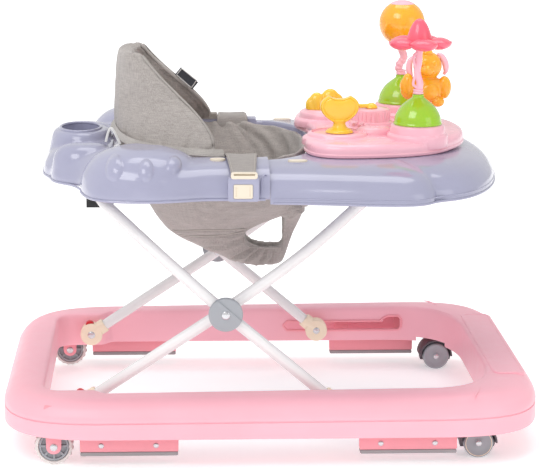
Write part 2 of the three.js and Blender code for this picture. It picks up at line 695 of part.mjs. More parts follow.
function rearTray() {
  const shell = (wall, floorZ) => {
    const level = (profile) => (wall ? hollowed(profile, wall, floorZ) : profile);
    return join(
      domed(rearTrayOutline, level(SIDE_PROFILE)),
      domed(cupLobe, level(CUP_PROFILE)),
      domed(sideBulge(-1), level(BULGE_PROFILE)),
      domed(sideBulge(1), level(BULGE_PROFILE)),
      domed(cupShoulder(-1), level(SHOULDER_PROFILE)),
      domed(cupShoulder(1), level(SHOULDER_PROFILE)),
    );
  };
  const outer = shell(0, 0);
  const well = ovalOutline(CUP.x, 0, CUP.halfX, CUP.halfY, 16);
  const wellFloor = domed(well, [[CUP.floorZ, 5], [CUP.floorZ + 6, 2], [CUP.rimZ + 2, 0]]);
  const wellWall = domed(ovalOutline(CUP.x, 0, CUP.halfX + WALL, CUP.halfY + WALL, 16),
    [[CUP.floorZ - WALL, 6], [CUP.floorZ + 4, 2], [CUP.rimZ - 1, 0]]);
  const rim = cut(seatOpening(WALL, REAR_TRAY_BOTTOM + 12, 500), seatOpening(0, 300, 500));
  const hollow = cut(shell(WALL, REAR_TRAY_BOTTOM - 20), wellWall, rim);
  let tray = cut(outer, hollow, wellFloor, seatOpening(0, 300, 500));
  for (const side of [-1, 1]) {
    tray = tray.add(asSolid(buckleFrame(side)));
    tray = tray.subtract(asSolid(buttonPocket(side)));
  }
  return common(tray, behindSeam);
}

function buckleFrame(side) {
  const { x, halfLength, bottom, top, outerY } = BUCKLE;
  const [y0, y1] = sideSpan(side, 233, outerY);
  return plateXZ(roundedRect(x - halfLength, x + halfLength, bottom, top, 2.5), y0, y1, 2);
}

function buttonPocket(side) {
  const { x, halfLength, z, halfHeight } = BUTTON;
  const [y0, y1] = sideSpan(side, BUCKLE.outerY - 9, BUCKLE.outerY + 5);
  return box(x - halfLength - GAP, x + halfLength + GAP, y0, y1, z - halfHeight - GAP, z + halfHeight + GAP);
}

function frontTray() {
  const outer = domed(frontTrayOutline, FRONT_PROFILE);
  const rim = cut(seatOpening(WALL, FRONT_TRAY_BOTTOM + 12, 500), seatOpening(0, 300, 500));
  const hollow = cut(domed(frontTrayOutline, hollowed(FRONT_PROFILE, WALL, FRONT_TRAY_BOTTOM - 20)), rim);
  return cut(outer, hollow, seatOpening(0, 300, 500));
}

add('rear_tray', rearTray(), 'lavender');
add('front_tray', frontTray(), 'lavender');

function buckleButton() {
  const { x, halfLength, z, halfHeight } = BUTTON;
  const shape = roundedRect(x - halfLength, x + halfLength, z - halfHeight, z + halfHeight, 2);
  return plateXZ(shape, -BUCKLE.outerY - 0.8, -BUCKLE.outerY + 5, 2);
}

addPair('buckle_button', buckleButton(), 'cream');

// Black brackets under the rear tray, in which the outer frame's cross tube turns.
function pivotBracket() {
  const block = box(TRAY_PIVOT.x - 17, TRAY_PIVOT.x + 17, -174, -150, 320, 372);
  const room = join(
    domed(rearTrayOutline, hollowed(SIDE_PROFILE, WALL + GAP, 300)),
    domed(sideBulge(-1), hollowed(BULGE_PROFILE, WALL + GAP, 300)),
  );
  const keepOff = seatOpening(WALL + GAP, 300, 500);
  const bore = rodY(TRAY_PIVOT.x, TRAY_PIVOT.z, TUBE_RADIUS + GAP + 0.2, -180, -140);
  return cut(common(block, room), bore, keepOff);
}

// Slotted plates under the front tray, along which the inner frame's cross tube slides.
function guidePlate() {
  const { x, z } = GUIDE_PIVOT;
  const shape = roundedRect(x + SLIDE_TRAVEL.rear - 18, x + SLIDE_TRAVEL.front + 18, z - 16, z + 24, 5);
  const slot = roundedRect(x + SLIDE_TRAVEL.rear - 8.5, x + SLIDE_TRAVEL.front + 8.5, z - 9, z + 11.5, 8);
  shape.holes.push(new THREE.Path(slot.getPoints(3).reverse()));
  const room = domed(frontTrayOutline, hollowed(FRONT_PROFILE, WALL + GAP, 300));
  return common(plateXZ(shape, -132, -128, 3), room);
}

addPair('pivot_bracket', pivotBracket(), 'black');
addPair('guide_plate', guidePlate(), 'black');

// ---------------------------------------------------------------- seat
// Horseshoe outlines of the padded back: rear edge, half width and front edge at each height.
function backOutline(rear, halfWidth, front) {
  const thickness = 16;
  const wall = (grow) => {
    const half = new THREE.Path();
    const x = rear + grow;
    const y = halfWidth - grow;
    half.moveTo(x, 0);
    half.bezierCurveTo(x, -0.8 * y, x + 0.35 * (front - x), -y, front, -y);
    return half.getPoints(6);
  };
  const outside = wall(0);
  const inside = wall(thickness).map((p) => new THREE.Vector2(Math.min(p.x, front - 0.01), p.y));
  inside[inside.length - 1].x = front;
  const right = [...outside, ...inside.slice(1).reverse()];
  const left = right.map((p) => new THREE.Vector2(p.x, -p.y)).reverse();
  const seamless = [...left.slice(0, -1), ...right];
  return [...seamless, inside[0]];
}

const SEAT_BACK = [
  [386, -203, 160, -70], [412, -203, 132, -79], [440, -202, 106, -104], [470, -200, 88, -133],
  [500, -198, 72, -160], [514, -194, 64, -170], [521, -187, 56, -174],
];

function seatBack() {
  const level = ([z, rear, halfWidth, front]) => ({ points: backOutline(rear, halfWidth, front), z });
  return loft(SEAT_BACK.map(level));
}

add('seat_back', seatBack(), 'fabric');

// The pouch below: rear edge, front edge and half width at each height.
const SEAT_POUCH = [
  [222, -46, 16, 34], [226, -66, 24, 50], [240, -92, 32, 62], [262, -126, 38, 74],
  [303, -160, 43, 98], [342, -182, 46, 128], [384, -196, 48, 162],
];

function pouchOutline(rear, front, halfWidth) {
  const half = new THREE.Path();
  half.moveTo(rear, 0);
  const turnIn = 0.2 * (front - rear);
  half.bezierCurveTo(rear, -0.75 * halfWidth, rear + turnIn, -halfWidth, (rear + front) / 2, -halfWidth);
  half.bezierCurveTo(front - turnIn, -halfWidth, front, -0.75 * halfWidth, front, 0);
  return symmetricOutline(half, 4);
}

function pouchSolid(inset, floorZ) {
  const levels = SEAT_POUCH.map(([z, rear, front, halfWidth]) => ({
    points: pouchOutline(rear + inset, front - inset, halfWidth - inset),
    z: inset ? Math.max(z + inset, floorZ) : z,
  }));
  return loft(levels);
}

function seatPouch() {
  const legHole = plateXZ(roundedRect(-33, 18, 234, 286, 14), -200, 200, 3);
  return cut(pouchSolid(0), pouchSolid(6, 0), legHole);
}

add('seat_pouch', seatPouch(), 'fabric');

// ---------------------------------------------------------------- toy panel and toys
function panelOutline(inset) {
  const half = new THREE.Path();
  half.moveTo(60 + inset, 0);
  half.bezierCurveTo(60 + inset, -60, 42 + inset, -70, 43 + inset, -104);
  half.bezierCurveTo(44 + inset, -150 + inset, 66, -166 + inset, 98, -165 + inset);
  half.bezierCurveTo(150, -164 + inset, 205 - 0.5 * inset, -150 + inset, 228 - inset, -112 + 0.5 * inset);
  half.bezierCurveTo(246 - inset, -84, 266 - inset, -50, 266 - inset, 0);
  return symmetricOutline(half, 4);
}

const PANEL_FLOOR = FRONT_DECK_Z + GAP;

function toyPanel() {
  const top = (x, y, rx, ry, profile) => domed(ovalOutline(x, y, rx, ry, 14), profile);
  const parts = [];
  for (const { y, baseZ } of [TULIP, SHELL]) {
    parts.push(top(88, y, 46, 44, [[390, 0], [396, 2], [baseZ - GAP - 3, 10], [baseZ - GAP, 18]]));
  }
  for (const side of [-1, 1]) {
    parts.push(top(DOME.x, side * DOME.y, 40, 40, [[390, 0], [404, 1], [411, 3], [DOME.baseZ - GAP, 7]]));
  }
  parts.push(top(LEVER.x, 0, 30, 30, [[390, 0], [404, 1], [408, 5], [LEVER.platformZ - 3, 5],
    [LEVER.platformZ, 8]]));
  parts.push(top(BEAR.x, BEAR.y, 24, 24, [[390, 0], [402, 3], [406, 12], [408, 14]]));
  const base = domed(panelOutline, [[PANEL_FLOOR, 2], [384, 0], [390, 1], [395, 6], [398, 14]]);
  const holes = [
    rodZ(TULIP.x, TULIP.y, 4 + GAP, 386, 430, 10),
    rodZ(SHELL.x, SHELL.y, 4 + GAP, 386, 430, 10),
    rodZ(LEVER.x, LEVER.y, 3 + GAP, 400, 440, 10),
    rodZ(BEAR.x, BEAR.y, 3 + GAP, 386, 440, 10),
  ];
  return cut(join(base, ...parts), ...holes);
}

add('toy_panel', toyPanel(), 'lightPink');

// A heart-shaped plate on a waisted foot, with a pin down into the panel.
function tulipKnob() {
  const { x, y, baseZ } = TULIP;
  const heart = new THREE.Shape();
  heart.moveTo(x, baseZ + 11);
  heart.bezierCurveTo(x - 13, baseZ + 14, x - 25.5, baseZ + 24, x - 25.5, baseZ + 35);
  heart.bezierCurveTo(x - 25.5, baseZ + 41, x - 21, baseZ + 45, x - 14, baseZ + 48.5);
  heart.bezierCurveTo(x - 9, baseZ + 43.5, x + 9, baseZ + 43.5, x + 14, baseZ + 48.5);
  heart.bezierCurveTo(x + 21, baseZ + 45, x + 25.5, baseZ + 41, x + 25.5, baseZ + 35);
  heart.bezierCurveTo(x + 25.5, baseZ + 24, x + 13, baseZ + 14, x, baseZ + 11);
  const plate = plateXZ(heart, y - 7, y + 7, 5);
  const waist = turned([[0, -14], [4, -14], [4, 0], [17, 0], [17, 4], [9, 8], [8, 16], [0, 16]], 20);
  return join(plate, waist.translate(x, y, baseZ));
}

// Two rounded lobes, one behind the other, that turn on one pin.
function shellKnob() {
  const { x, y, baseZ } = SHELL;
  const lobes = [
    ellipsoid(x - 13, y - 7, baseZ + 2, 15, 9, 20, 14),
    ellipsoid(x + 7, y + 8, baseZ + 2, 19, 10, 23, 14),
  ];
  const pin = rodZ(x, y, 4, baseZ - 14, baseZ + 3, 10);
  const above = box(x - 60, x + 60, y - 40, y + 40, baseZ, baseZ + 60);
  return join(common(join(...lobes, rodZ(x, y, 16, baseZ, baseZ + 4, 16)), above), pin);
}

// A thin pointer over the round platform.
function pointerLever() {
  const { x, y, platformZ } = LEVER;
  const hub = turned([[0, -14], [3, -14], [3, GAP], [8, GAP], [8, 3], [5, 6], [0, 7]], 16);
  const arm = box(-2, 27, -3, 3, GAP + 0.5, 4).rotateZ(THREE.MathUtils.degToRad(200));
  return join(hub, arm).translate([x, y, platformZ]);
}

add('tulip_knob', tulipKnob(), 'yellow');
add('shell_knob', shellKnob(), 'yellow');
add('pointer_lever', pointerLever(), 'yellow');

// Each dome closes the foot of a wavy stem, and the stem's pin stands in it.
function dome() {
  const { x, y, baseZ, radius, height } = DOME;
  const profile = [[0, 0], [radius, 0]];
  profile.push([0.93 * radius, 0.36 * height], [0.72 * radius, 0.68 * height], [0.4 * radius, 0.88 * height]);
  profile.push([7.5, 0.95 * height], [7, height], [4.3, height], [4.3, height - 12], [0, height - 12]);
  return turned(profile, 18).translate(x, -y, baseZ);
}

const STEM_BASE = DOME.baseZ + DOME.height;

function stem(topZ, sway, collarRadius) {
  const { x, y } = DOME;
  const rise = topZ - STEM_BASE;
  const points = Array.from({ length: 9 }, (unused, i) => {
    const share = i / 8;
    const wave = Math.min(1, share * 1.35) * Math.PI;
    const bend = Math.sin(wave * 2) * Math.sin(wave);
    return new THREE.Vector3(x + sway * bend, -y, STEM_BASE + GAP + share * rise);
  });
  const collar = turned([[0, -11], [4, -11], [4, GAP], [collarRadius, GAP], [collarRadius, 4], [0, 5]], 12);
  return join(tubeAlong(points, 4, 0, 8), collar.translate(x, -y, STEM_BASE));
}

addPair('dome', dome(), 'green');
add('stem_R', stem(FLOWER.z - 8, 2.5, 7.8), 'lightPink');
add('stem_L', mirrored(toGeometry(stem(BALL.z - BALL.radius + 10, -4.5, 7))), 'lightPink');

function flowerSpinner() {
  const petals = Array.from({ length: FLOWER.petals }, (unused, i) => {
    const turn = THREE.MathUtils.degToRad(FLOWER.firstPetal + (360 * i) / FLOWER.petals);
    const petal = ellipsoid(FLOWER.petalReach, 0, 0, 16.5, 18.5, 8, 10);
    return petal.rotateZ(turn);
  });
  const crown = turned([[0, -6], [15, -4], [16, 3], [12.5, 11], [9.5, 20], [5.5, 28], [0, 31.8]], 14);
  const bore = rodZ(0, 0, 4 + GAP, -30, 2, 10);
  return cut(join(crown, ...petals), bore).translate([DOME.x, -DOME.y, FLOWER.z]);
}

function ballSpinner() {
  const ball = ellipsoid(0, 0, 0, BALL.radius, BALL.radius, BALL.radius, 16);
  const cap = rodZ(0, 0, 11, BALL.radius - 5, BALL.radius + 0.4, 12);
  const bore = rodZ(0, 0, 4 + GAP, -BALL.radius - 5, -BALL.radius + 12, 10);
  return cut(join(ball, cap), bore).translate([DOME.x, DOME.y, BALL.z]);
}

// A plain bear cub on a post, which turns round with its ears at either side.
function bearSpinner() {
  const parts = [
    ellipsoid(3, 0, 18, 25, 16, 18.5, 12),
    ellipsoid(2, 0, 50, 20, 17, 20.5, 12),
    ellipsoid(1, -14, 46, 8, 7, 6, 8),
    ellipsoid(-26, -3, 22, 9, 10, 17, 9),
    ellipsoid(25, -3, 20, 10, 10, 16, 9),
    ellipsoid(-20, 2, 46, 5, 5, 17, 8),
    ellipsoid(24, 2, 52, 5, 5, 16, 8),
  ];
  const post = rodZ(0, 0, 3, -36, 12, 10);
  return join(...parts, post).translate([BEAR.x, BEAR.y, BEAR.baseZ]);
}

add('flower_spinner', flowerSpinner(), 'coral');
add('ball_spinner', ballSpinner(), 'amber');
add('bear_spinner', bearSpinner(), 'amber');

export default walker;
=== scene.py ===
# Baby walker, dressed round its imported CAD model. Lengths are in millimetres until a mesh is made.
# X points forward, Y to the child's left and Z up.
import json
from math import atan2, copysign, cos, hypot, pi, radians, sin

import bmesh
import bpy
from mathutils import Matrix, Vector, noise
from mathutils.bvhtree import BVHTree

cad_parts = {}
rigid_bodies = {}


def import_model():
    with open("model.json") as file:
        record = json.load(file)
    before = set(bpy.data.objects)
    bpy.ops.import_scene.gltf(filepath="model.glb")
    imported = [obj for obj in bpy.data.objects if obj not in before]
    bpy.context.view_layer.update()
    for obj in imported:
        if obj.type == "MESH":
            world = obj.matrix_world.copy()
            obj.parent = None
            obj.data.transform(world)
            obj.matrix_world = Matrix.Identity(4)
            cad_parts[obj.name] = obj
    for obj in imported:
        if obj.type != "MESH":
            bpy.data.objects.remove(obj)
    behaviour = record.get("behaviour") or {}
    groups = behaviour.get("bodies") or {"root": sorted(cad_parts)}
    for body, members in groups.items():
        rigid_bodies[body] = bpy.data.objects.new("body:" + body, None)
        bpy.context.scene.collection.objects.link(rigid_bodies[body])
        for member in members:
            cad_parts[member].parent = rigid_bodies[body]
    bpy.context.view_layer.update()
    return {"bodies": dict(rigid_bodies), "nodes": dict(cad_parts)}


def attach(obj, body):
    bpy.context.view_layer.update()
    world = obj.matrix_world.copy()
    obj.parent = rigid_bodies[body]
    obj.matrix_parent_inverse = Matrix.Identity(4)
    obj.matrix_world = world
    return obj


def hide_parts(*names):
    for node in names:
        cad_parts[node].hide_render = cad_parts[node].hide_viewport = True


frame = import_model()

MM = 0.001
MERGE = 1e-6
SMOOTH = 180
SIDES = {"R": -1, "L": 1}

# ------------------------------------------------------------------ materials


class Look:
    """A principled material, with short calls for the nodes that feed it."""

    def __init__(self, name, colour, roughness, **sockets):
        self.material = bpy.data.materials.new(name)
        self.material.use_nodes = True
        self.tree = self.material.node_tree
        self.shader = self.tree.nodes["Principled BSDF"]
        self.set(Base_Color=(*colour, 1), Roughness=roughness, **sockets)
        self.place = self.node("ShaderNodeTexCoord").outputs["Object"]

    def set(self, **sockets):
        for key, value in sockets.items():
            self.shader.inputs[key.replace("_", " ")].default_value = value

    def node(self, kind, inputs=None, **settings):
        made = self.tree.nodes.new(kind)
        for key, value in settings.items():
            setattr(made, key, value)
        for key, value in (inputs or {}).items():
            socket = made.inputs[key]
            if isinstance(value, bpy.types.NodeSocket):
                self.tree.links.new(value, socket)
            else:
                socket.default_value = value
        return made

    def link(self, output, key):
        self.tree.links.new(output, self.shader.inputs[key])

    def noise(self, scale, detail=3.0, roughness=0.5, stretch=None):
        place = self.place
        if stretch:
            place = self.node("ShaderNodeMapping", {"Vector": place, "Scale": stretch}).outputs[0]
        values = {"Vector": place, "Scale": scale, "Detail": detail, "Roughness": roughness}
        return self.node("ShaderNodeTexNoise", values).outputs[0]

    def ramp(self, value, low, high, out_low, out_high):
        values = {0: value, 1: low, 2: high, 3: out_low, 4: out_high}
        return self.node("ShaderNodeMapRange", values).outputs[0]

    def mix(self, share, first, second):
        made = self.node("ShaderNodeMix", data_type="RGBA")
        for socket, value in ((made.inputs[0], share), (made.inputs[6], first), (made.inputs[7], second)):
            if isinstance(value, bpy.types.NodeSocket):
                self.tree.links.new(value, socket)
            else:
                socket.default_value = value
        return made.outputs[2]

    def maths(self, operation, *values):
        made = self.node("ShaderNodeMath", dict(enumerate(values)), operation=operation)
        return made.outputs[0]

    def bump(self, height, strength, distance):
        values = {"Height": height, "Strength": strength, "Distance": distance}
        self.link(self.node("ShaderNodeBump", values).outputs[0], "Normal")


def tint(colour, factor):
    """The colour made darker or lighter, with its opacity."""
    return (*(min(1.0, c * factor) for c in colour), 1)


def plastic(name, colour, roughness, grain=0.04, **sockets):
    """Moulded plastic: faint flow marks in the colour, a fine skin texture and handling scuffs."""
    look = Look(name, colour, roughness, **sockets)
    cloud = look.noise(9.0, 4.0)
    share = look.ramp(cloud, 0.35, 0.65, 0.0, 1.0)
    look.link(look.mix(share, tint(colour, 0.965), tint(colour, 1.025)), "Base Color")
    scuff = look.noise(60.0, 6.0, 0.65)
    look.link(look.ramp(scuff, 0.3, 0.75, roughness * 0.85, min(1.0, roughness * 1.25 + 0.03)), "Roughness")
    fine = look.noise(1400.0, 2.0)
    look.bump(fine, grain, 0.0004)
    return look


def metal(name, colour, roughness):
    look = Look(name, colour, roughness, Metallic=1.0)
    fine = look.noise(180.0, 4.0, stretch=(1.0, 1.0, 6.0))
    look.link(look.ramp(fine, 0.3, 0.7, roughness * 0.7, roughness * 1.5), "Roughness")
    look.bump(fine, 0.05, 0.0002)
    return look


def weave(name, colour, pitch, depth=0.35, slub=0.22, sheen=0.25):
    """Plain-woven cloth. Threads run in three planes of the model, so that no face shows them end on."""
    look = Look(name, colour, 0.92, Sheen_Weight=sheen, Sheen_Roughness=0.5)
    axes = look.node("ShaderNodeSeparateXYZ", {0: look.place}).outputs
    wobble = look.noise(40.0, 2.0)
    warped = [look.maths("MULTIPLY_ADD", wobble, pitch * 0.9, axes[i]) for i in range(3)]
    turns = [look.maths("MULTIPLY", value, 2 * pi / pitch) for value in warped]
    waves = [look.maths("SINE", value) for value in turns]
    upright = look.maths("MULTIPLY", look.maths("ADD", waves[0], waves[1]), 0.5)
    threads = look.maths("MULTIPLY", upright, waves[2])
    height = look.maths("MULTIPLY_ADD", threads, 0.5, 0.5)
    slubs = look.noise(75.0, 2.0, 0.6, (1.0, 1.0, 14.0))
    cross = look.noise(75.0, 2.0, 0.6, (14.0, 14.0, 1.0))
    both = look.maths("MULTIPLY_ADD", cross, 1.2, look.maths("MULTIPLY", slubs, 0.8))
    fleck = look.ramp(both, 0.75, 1.25, 1 - slub, 1 + slub)
    # Painted shade and highlight in the weave: the hollows between the threads are darkened and the thread
    # tops lightened, over the slubs' own tone; a slow random change of tone, the cloth's own, is laid on
    # after.
    slub_tone_and_weave_shade = look.maths("MULTIPLY", fleck, look.ramp(height, 0.0, 1.0, 0.86, 1.08))
    fading_tone_and_weave_shade = look.maths("MULTIPLY", slub_tone_and_weave_shade, look.ramp(look.noise(7.0), 0.3, 0.7, 0.95, 1.05))
    hsv = look.node("ShaderNodeHueSaturation", {"Color": (*colour, 1), "Value": fading_tone_and_weave_shade})
    look.link(hsv.outputs[0], "Base Color")
    threading = look.maths("MULTIPLY", look.maths("ADD", slubs, cross), 0.5)
    look.bump(look.maths("ADD", height, threading), depth, pitch * 0.3)
    return look


LOOKS = {
    "pink_shell": plastic("pink_shell", (1.0, 0.49, 0.57), 0.34, 0.06),
    "deep_pink": plastic("deep_pink", (0.96, 0.37, 0.43), 0.4, 0.06),
    "cream": plastic("cream", (0.93, 0.78, 0.6), 0.4),
    "ivory": plastic("ivory", (0.8, 0.71, 0.58), 0.35),
    "red": plastic("red", (0.69, 0.02, 0.03), 0.32),
    "white_tube": plastic("white_tube", (0.85, 0.83, 0.83), 0.16, 0.03, Coat_Weight=0.4),
    "grey": plastic("grey", (0.37, 0.385, 0.415), 0.42, 0.08),
    "dark_grey": plastic("dark_grey", (0.1, 0.085, 0.1), 0.5, 0.1),
    "black": plastic("black", (0.012, 0.012, 0.014), 0.45, 0.08),
    "steel": metal("steel", (0.66, 0.66, 0.68), 0.22),
    "rubber": plastic("rubber", (0.36, 0.34, 0.35), 0.8, 0.3),
    "tread": plastic("tread", (0.74, 0.69, 0.67), 0.6, 0.15),
    "lavender_tray": plastic("lavender_tray", (0.365, 0.365, 0.495), 0.14, 0.02, Coat_Weight=0.5),
    "light_pink": plastic("light_pink", (0.97, 0.52, 0.61), 0.22, 0.02, Coat_Weight=0.3),
    "yellow": plastic("yellow", (1.0, 0.62, 0.05), 0.2, 0.02, Coat_Weight=0.4),
    "green": plastic("green", (0.36, 0.64, 0.02), 0.12, 0.02, Coat_Weight=0.6, Subsurface_Weight=0.1),
    "coral": plastic("coral", (0.93, 0.13, 0.2), 0.2, 0.02, Coat_Weight=0.4),
    "amber": plastic("amber", (1.0, 0.45, 0.02), 0.12, 0.02, Coat_Weight=0.5, Subsurface_Weight=0.35),
    "seat_fabric": weave("seat_fabric", (0.39, 0.355, 0.335), 0.0021, 0.35, 0.2),
    "webbing": weave("webbing", (0.36, 0.33, 0.315), 0.0013, 0.5, 0.1, 0.1),
    "hem": weave("hem", (0.47, 0.44, 0.41), 0.0012, 0.4, 0.12, 0.2),
    "binding": weave("binding", (0.37, 0.34, 0.32), 0.0012, 0.4, 0.12, 0.2),
    "thread": plastic("thread", (0.5, 0.46, 0.43), 0.8, 0.3),
    "label": weave("label", (0.06, 0.062, 0.075), 0.0008, 0.2, 0.1, 0.1),
    "label_edge": plastic("label_edge", (0.72, 0.71, 0.7), 0.7, 0.2),
}
# The record has no slot of its own for these; this table pairs each with the slot whose finish it would
# share, but nothing reads it.
SLOT_OF = {"ivory": "cream", **dict.fromkeys(("webbing", "binding", "hem", "thread", "label", "label_edge"),
                                             "seat_fabric")}

# ------------------------------------------------------------------ shapes as points and faces


def bezier(p0, p1, p2, p3, steps):
    for i in range(1, steps + 1):
        t = i / steps
        s = 1 - t
        k = (s**3, 3 * s * s * t, 3 * s * t * t, t**3)
        yield tuple(sum(w * p[j] for w, p in zip(k, (p0, p1, p2, p3))) for j in range(2))


def drawn(start, *moves, steps=16):
    """A flat line from a start: a pair is a straight move, and six numbers are a Bezier curve."""
    line = [start]
    for move in moves:
        if len(move) == 2:
            line.append(tuple(move))
        else:
            line.extend(bezier(line[-1], move[0:2], move[2:4], move[4:6], steps))
    return line


def even(line, count, closed=False):
    """The same line with points at even steps along it."""
    points = [Vector(p) for p in line]
    if closed:
        points.append(points[0])
    run = [0.0]
    for a, b in zip(points, points[1:]):
        run.append(run[-1] + (b - a).length)
    spans = count if closed else count - 1
    made, k = [], 0
    for i in range(count):
        want = run[-1] * i / spans
        while k < len(run) - 2 and run[k + 1] < want:
            k += 1
        span = run[k + 1] - run[k]
        made.append(points[k].lerp(points[k + 1], (want - run[k]) / span if span else 0.0))
    return made


def whole(half, count):
    """A closed outline from its half at -Y, drawn from the rear of the X axis to its front."""
    right = even(half, count)
    return right + [Vector((p.x, -p.y)) for p in reversed(right[1:-1])]


def smooth_line(points, steps):
    """A Catmull-Rom line through the points."""
    points = [Vector(p) for p in points]
    padded = [2 * points[0] - points[1], *points, 2 * points[-1] - points[-2]]
    line = []
    for a, b, c, d in zip(padded, padded[1:], padded[2:], padded[3:]):
        for i in range(steps):
            t = i / steps
            line.append(0.5 * (2 * b + (c - a) * t + (2 * a - 5 * b + 4 * c - d) * t * t
                               + (3 * b - a - 3 * c + d) * t**3))
    return [*line, points[-1]]


def oval(x, y, rx, ry, count=64):
    """A flat ellipse about a centre."""
    turns = [2 * pi * i / count for i in range(count)]
    return [Vector((x + rx * cos(t), y + ry * sin(t))) for t in turns]


def rounded(x0, x1, z0, z1, radius, steps=6):
    """A rectangle between two corners, with its own corners rounded."""
    corners = ((x1 - radius, z0 + radius, -90), (x1 - radius, z1 - radius, 0),
               (x0 + radius, z1 - radius, 90), (x0 + radius, z0 + radius, 180))
    line = []
    for x, z, start in corners:
        for i in range(steps + 1):
            turn = radians(start + 90 * i / steps)
            line.append((x + radius * cos(turn), z + radius * sin(turn)))
    return line


def skin(rings, closed=False):
    """Faces through rings of equal length, one after another."""
    count = len(rings[0])
    verts = [p for ring in rings for p in ring]
    faces = []
    last = len(rings) if closed else len(rings) - 1
    for k in range(last):
        low, high = k * count, (k + 1) % len(rings) * count
        for i in range(count):
            j = (i + 1) % count
            faces.append((low + i, low + j, high + j, high + i))
    if not closed:
        faces.append(tuple(reversed(range(count))))
        faces.append(tuple(range((len(rings) - 1) * count, len(rings) * count)))
    return verts, faces


def lifted(outline, z):
    """A flat outline at a height, which may be a function of the point."""
    return [Vector((p[0], p[1], z(p) if callable(z) else z)) for p in outline]


def lathe(profile, centre, axis="Z", segments=48):
    """A profile of (radius, height) pairs turned about an axis through the centre."""
    rings = []
    for radius, height in profile:
        ring = []
        for i in range(segments):
            turn = 2 * pi * i / segments
            u, v = max(radius, 0.01) * cos(turn), max(radius, 0.01) * sin(turn)
            offset = Vector((u, v, height)) if axis == "Z" else Vector((u, height, -v))
            ring.append(Vector(centre) + offset)
        rings.append(ring)
    return skin(rings)


def prism(outline, y0, y1):
    """An outline in the X-Z plane given thickness along Y."""
    return skin([[Vector((p[0], y, p[1])) for p in outline] for y in (y0, y1)])


def sweep(line, radius, segments=14, closed=False, squash=1.0):
    """A round rod along a line. The radius is a number, or a function of the share of the line."""
    line = [Vector(p) for p in line]
    count = len(line)
    ahead = [(line[(i + 1) % count] - line[i - 1]) if closed
             else line[min(i + 1, count - 1)] - line[max(i - 1, 0)] for i in range(count)]
    ahead = [v.normalized() for v in ahead]
    normal = ahead[0].orthogonal().normalized()
    rings = []
    for i, (point, forward) in enumerate(zip(line, ahead)):
        if i:
            normal = ahead[i - 1].rotation_difference(forward) @ normal
        normal = (normal - forward * normal.dot(forward)).normalized()
        side = forward.cross(normal)
        r = radius(i / (count - 1)) if callable(radius) else radius
        turns = [2 * pi * k / segments for k in range(segments)]
        rings.append([point + normal * r * cos(t) + side * r * squash * sin(t) for t in turns])
    return skin(rings, closed)


def mirror(shape):
    """The same shape on the other side of the X-Z plane."""
    verts, faces = shape
    return [Vector((v[0], -v[1], v[2])) for v in verts], [tuple(reversed(f)) for f in faces]


def merged(*shapes):
    """Several shapes as one, each still closed by itself."""
    verts, faces = [], []
    for more, loops in shapes:
        faces.extend(tuple(i + len(verts) for i in loop) for loop in loops)
        verts.extend(more)
    return verts, faces


# ------------------------------------------------------------------ objects


def raw(shape, name="scratch"):
    """An object from points in millimetres, with its faces turned outwards."""
    verts, faces = shape
    mesh = bpy.data.meshes.new(name)
    mesh.from_pydata([Vector(v) * MM for v in verts], [], faces)
    obj = bpy.data.objects.new(name, mesh)
    bpy.context.scene.collection.objects.link(obj)
    mend(obj)
    return obj


def mend(obj):
    """Joins points that lie together and turns the faces outwards."""
    work = bmesh.new()
    work.from_mesh(obj.data)
    bmesh.ops.remove_doubles(work, verts=work.verts, dist=MERGE)
    bmesh.ops.recalc_face_normals(work, faces=work.faces)
    work.to_mesh(obj.data)
    work.free()


def settled(obj, *modifiers):
    """Adds modifiers, each a kind and its settings, and makes their result the mesh."""
    for kind, settings in modifiers:
        modifier = obj.modifiers.new(kind.lower(), kind)
        for key, value in settings.items():
            setattr(modifier, key, value)
    graph = bpy.context.evaluated_depsgraph_get()
    mesh = bpy.data.meshes.new_from_object(obj.evaluated_get(graph))
    old = obj.data
    obj.modifiers.clear()
    obj.data = mesh
    bpy.data.meshes.remove(old)
    return obj


def boolean(obj, others, operation="DIFFERENCE"):
    """Cuts the others from an object or joins them to it, and removes them."""
    for other in others:
        settled(obj, ("BOOLEAN", {"object": other, "operation": operation, "solver": "MANIFOLD"}))
        bpy.data.objects.remove(other)
    return obj


def rounded_edges(obj, width, segments, angle):
    """Bevels every edge that is sharper than the angle."""
    settings = {"width": width * MM, "segments": segments, "limit_method": "ANGLE", "angle_limit": angle}
    return settled(obj, ("BEVEL", settings))


def blob(objects, voxel, smooth):
    """Joins overlapping closed objects into one skin with softened joins."""
    first, *rest = objects
    for other in rest:
        work = bmesh.new()
        work.from_mesh(first.data)
        work.from_mesh(other.data)
        work.to_mesh(first.data)
        work.free()
        bpy.data.objects.remove(other)
    return settled(first, ("REMESH", {"mode": "VOXEL", "voxel_size": voxel * MM}),
                   ("SMOOTH", {"factor": 0.5, "iterations": smooth}))


def piece(name, shape, body, look, replaces=(), bevel=0.0, sharp=35):
    """Names a shape or object, gives it its material, and has it ride on a body."""
    obj = shape if isinstance(shape, bpy.types.Object) else raw(shape)
    obj.name = obj.data.name = name
    if bevel:
        rounded_edges(obj, bevel, 3, radians(30))
    for polygon in obj.data.polygons:
        polygon.use_smooth = True
    if sharp < SMOOTH:
        obj.data.set_sharp_from_angle(angle=radians(sharp))
    obj.data.materials.clear()
    obj.data.materials.append(LOOKS[look].material)
    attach(obj, body)
    if replaces:
        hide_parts(*replaces)
    return obj


def pair(name, shape, body, look, replaces=(), **more):
    """The same piece on the right and, mirrored, on the left. Names and bodies get _R and _L."""
    made = []
    for side in SIDES:
        mine = shape if side == "R" else mirror(shape)
        own = body if body in frame["bodies"] else f"{body}_{side}"
        nodes = [f"{node}_{side}" for node in replaces]
        made.append(piece(f"{name}_{side}", mine, own, look, nodes, **more))
    return made

# ------------------------------------------------------------------ base ring

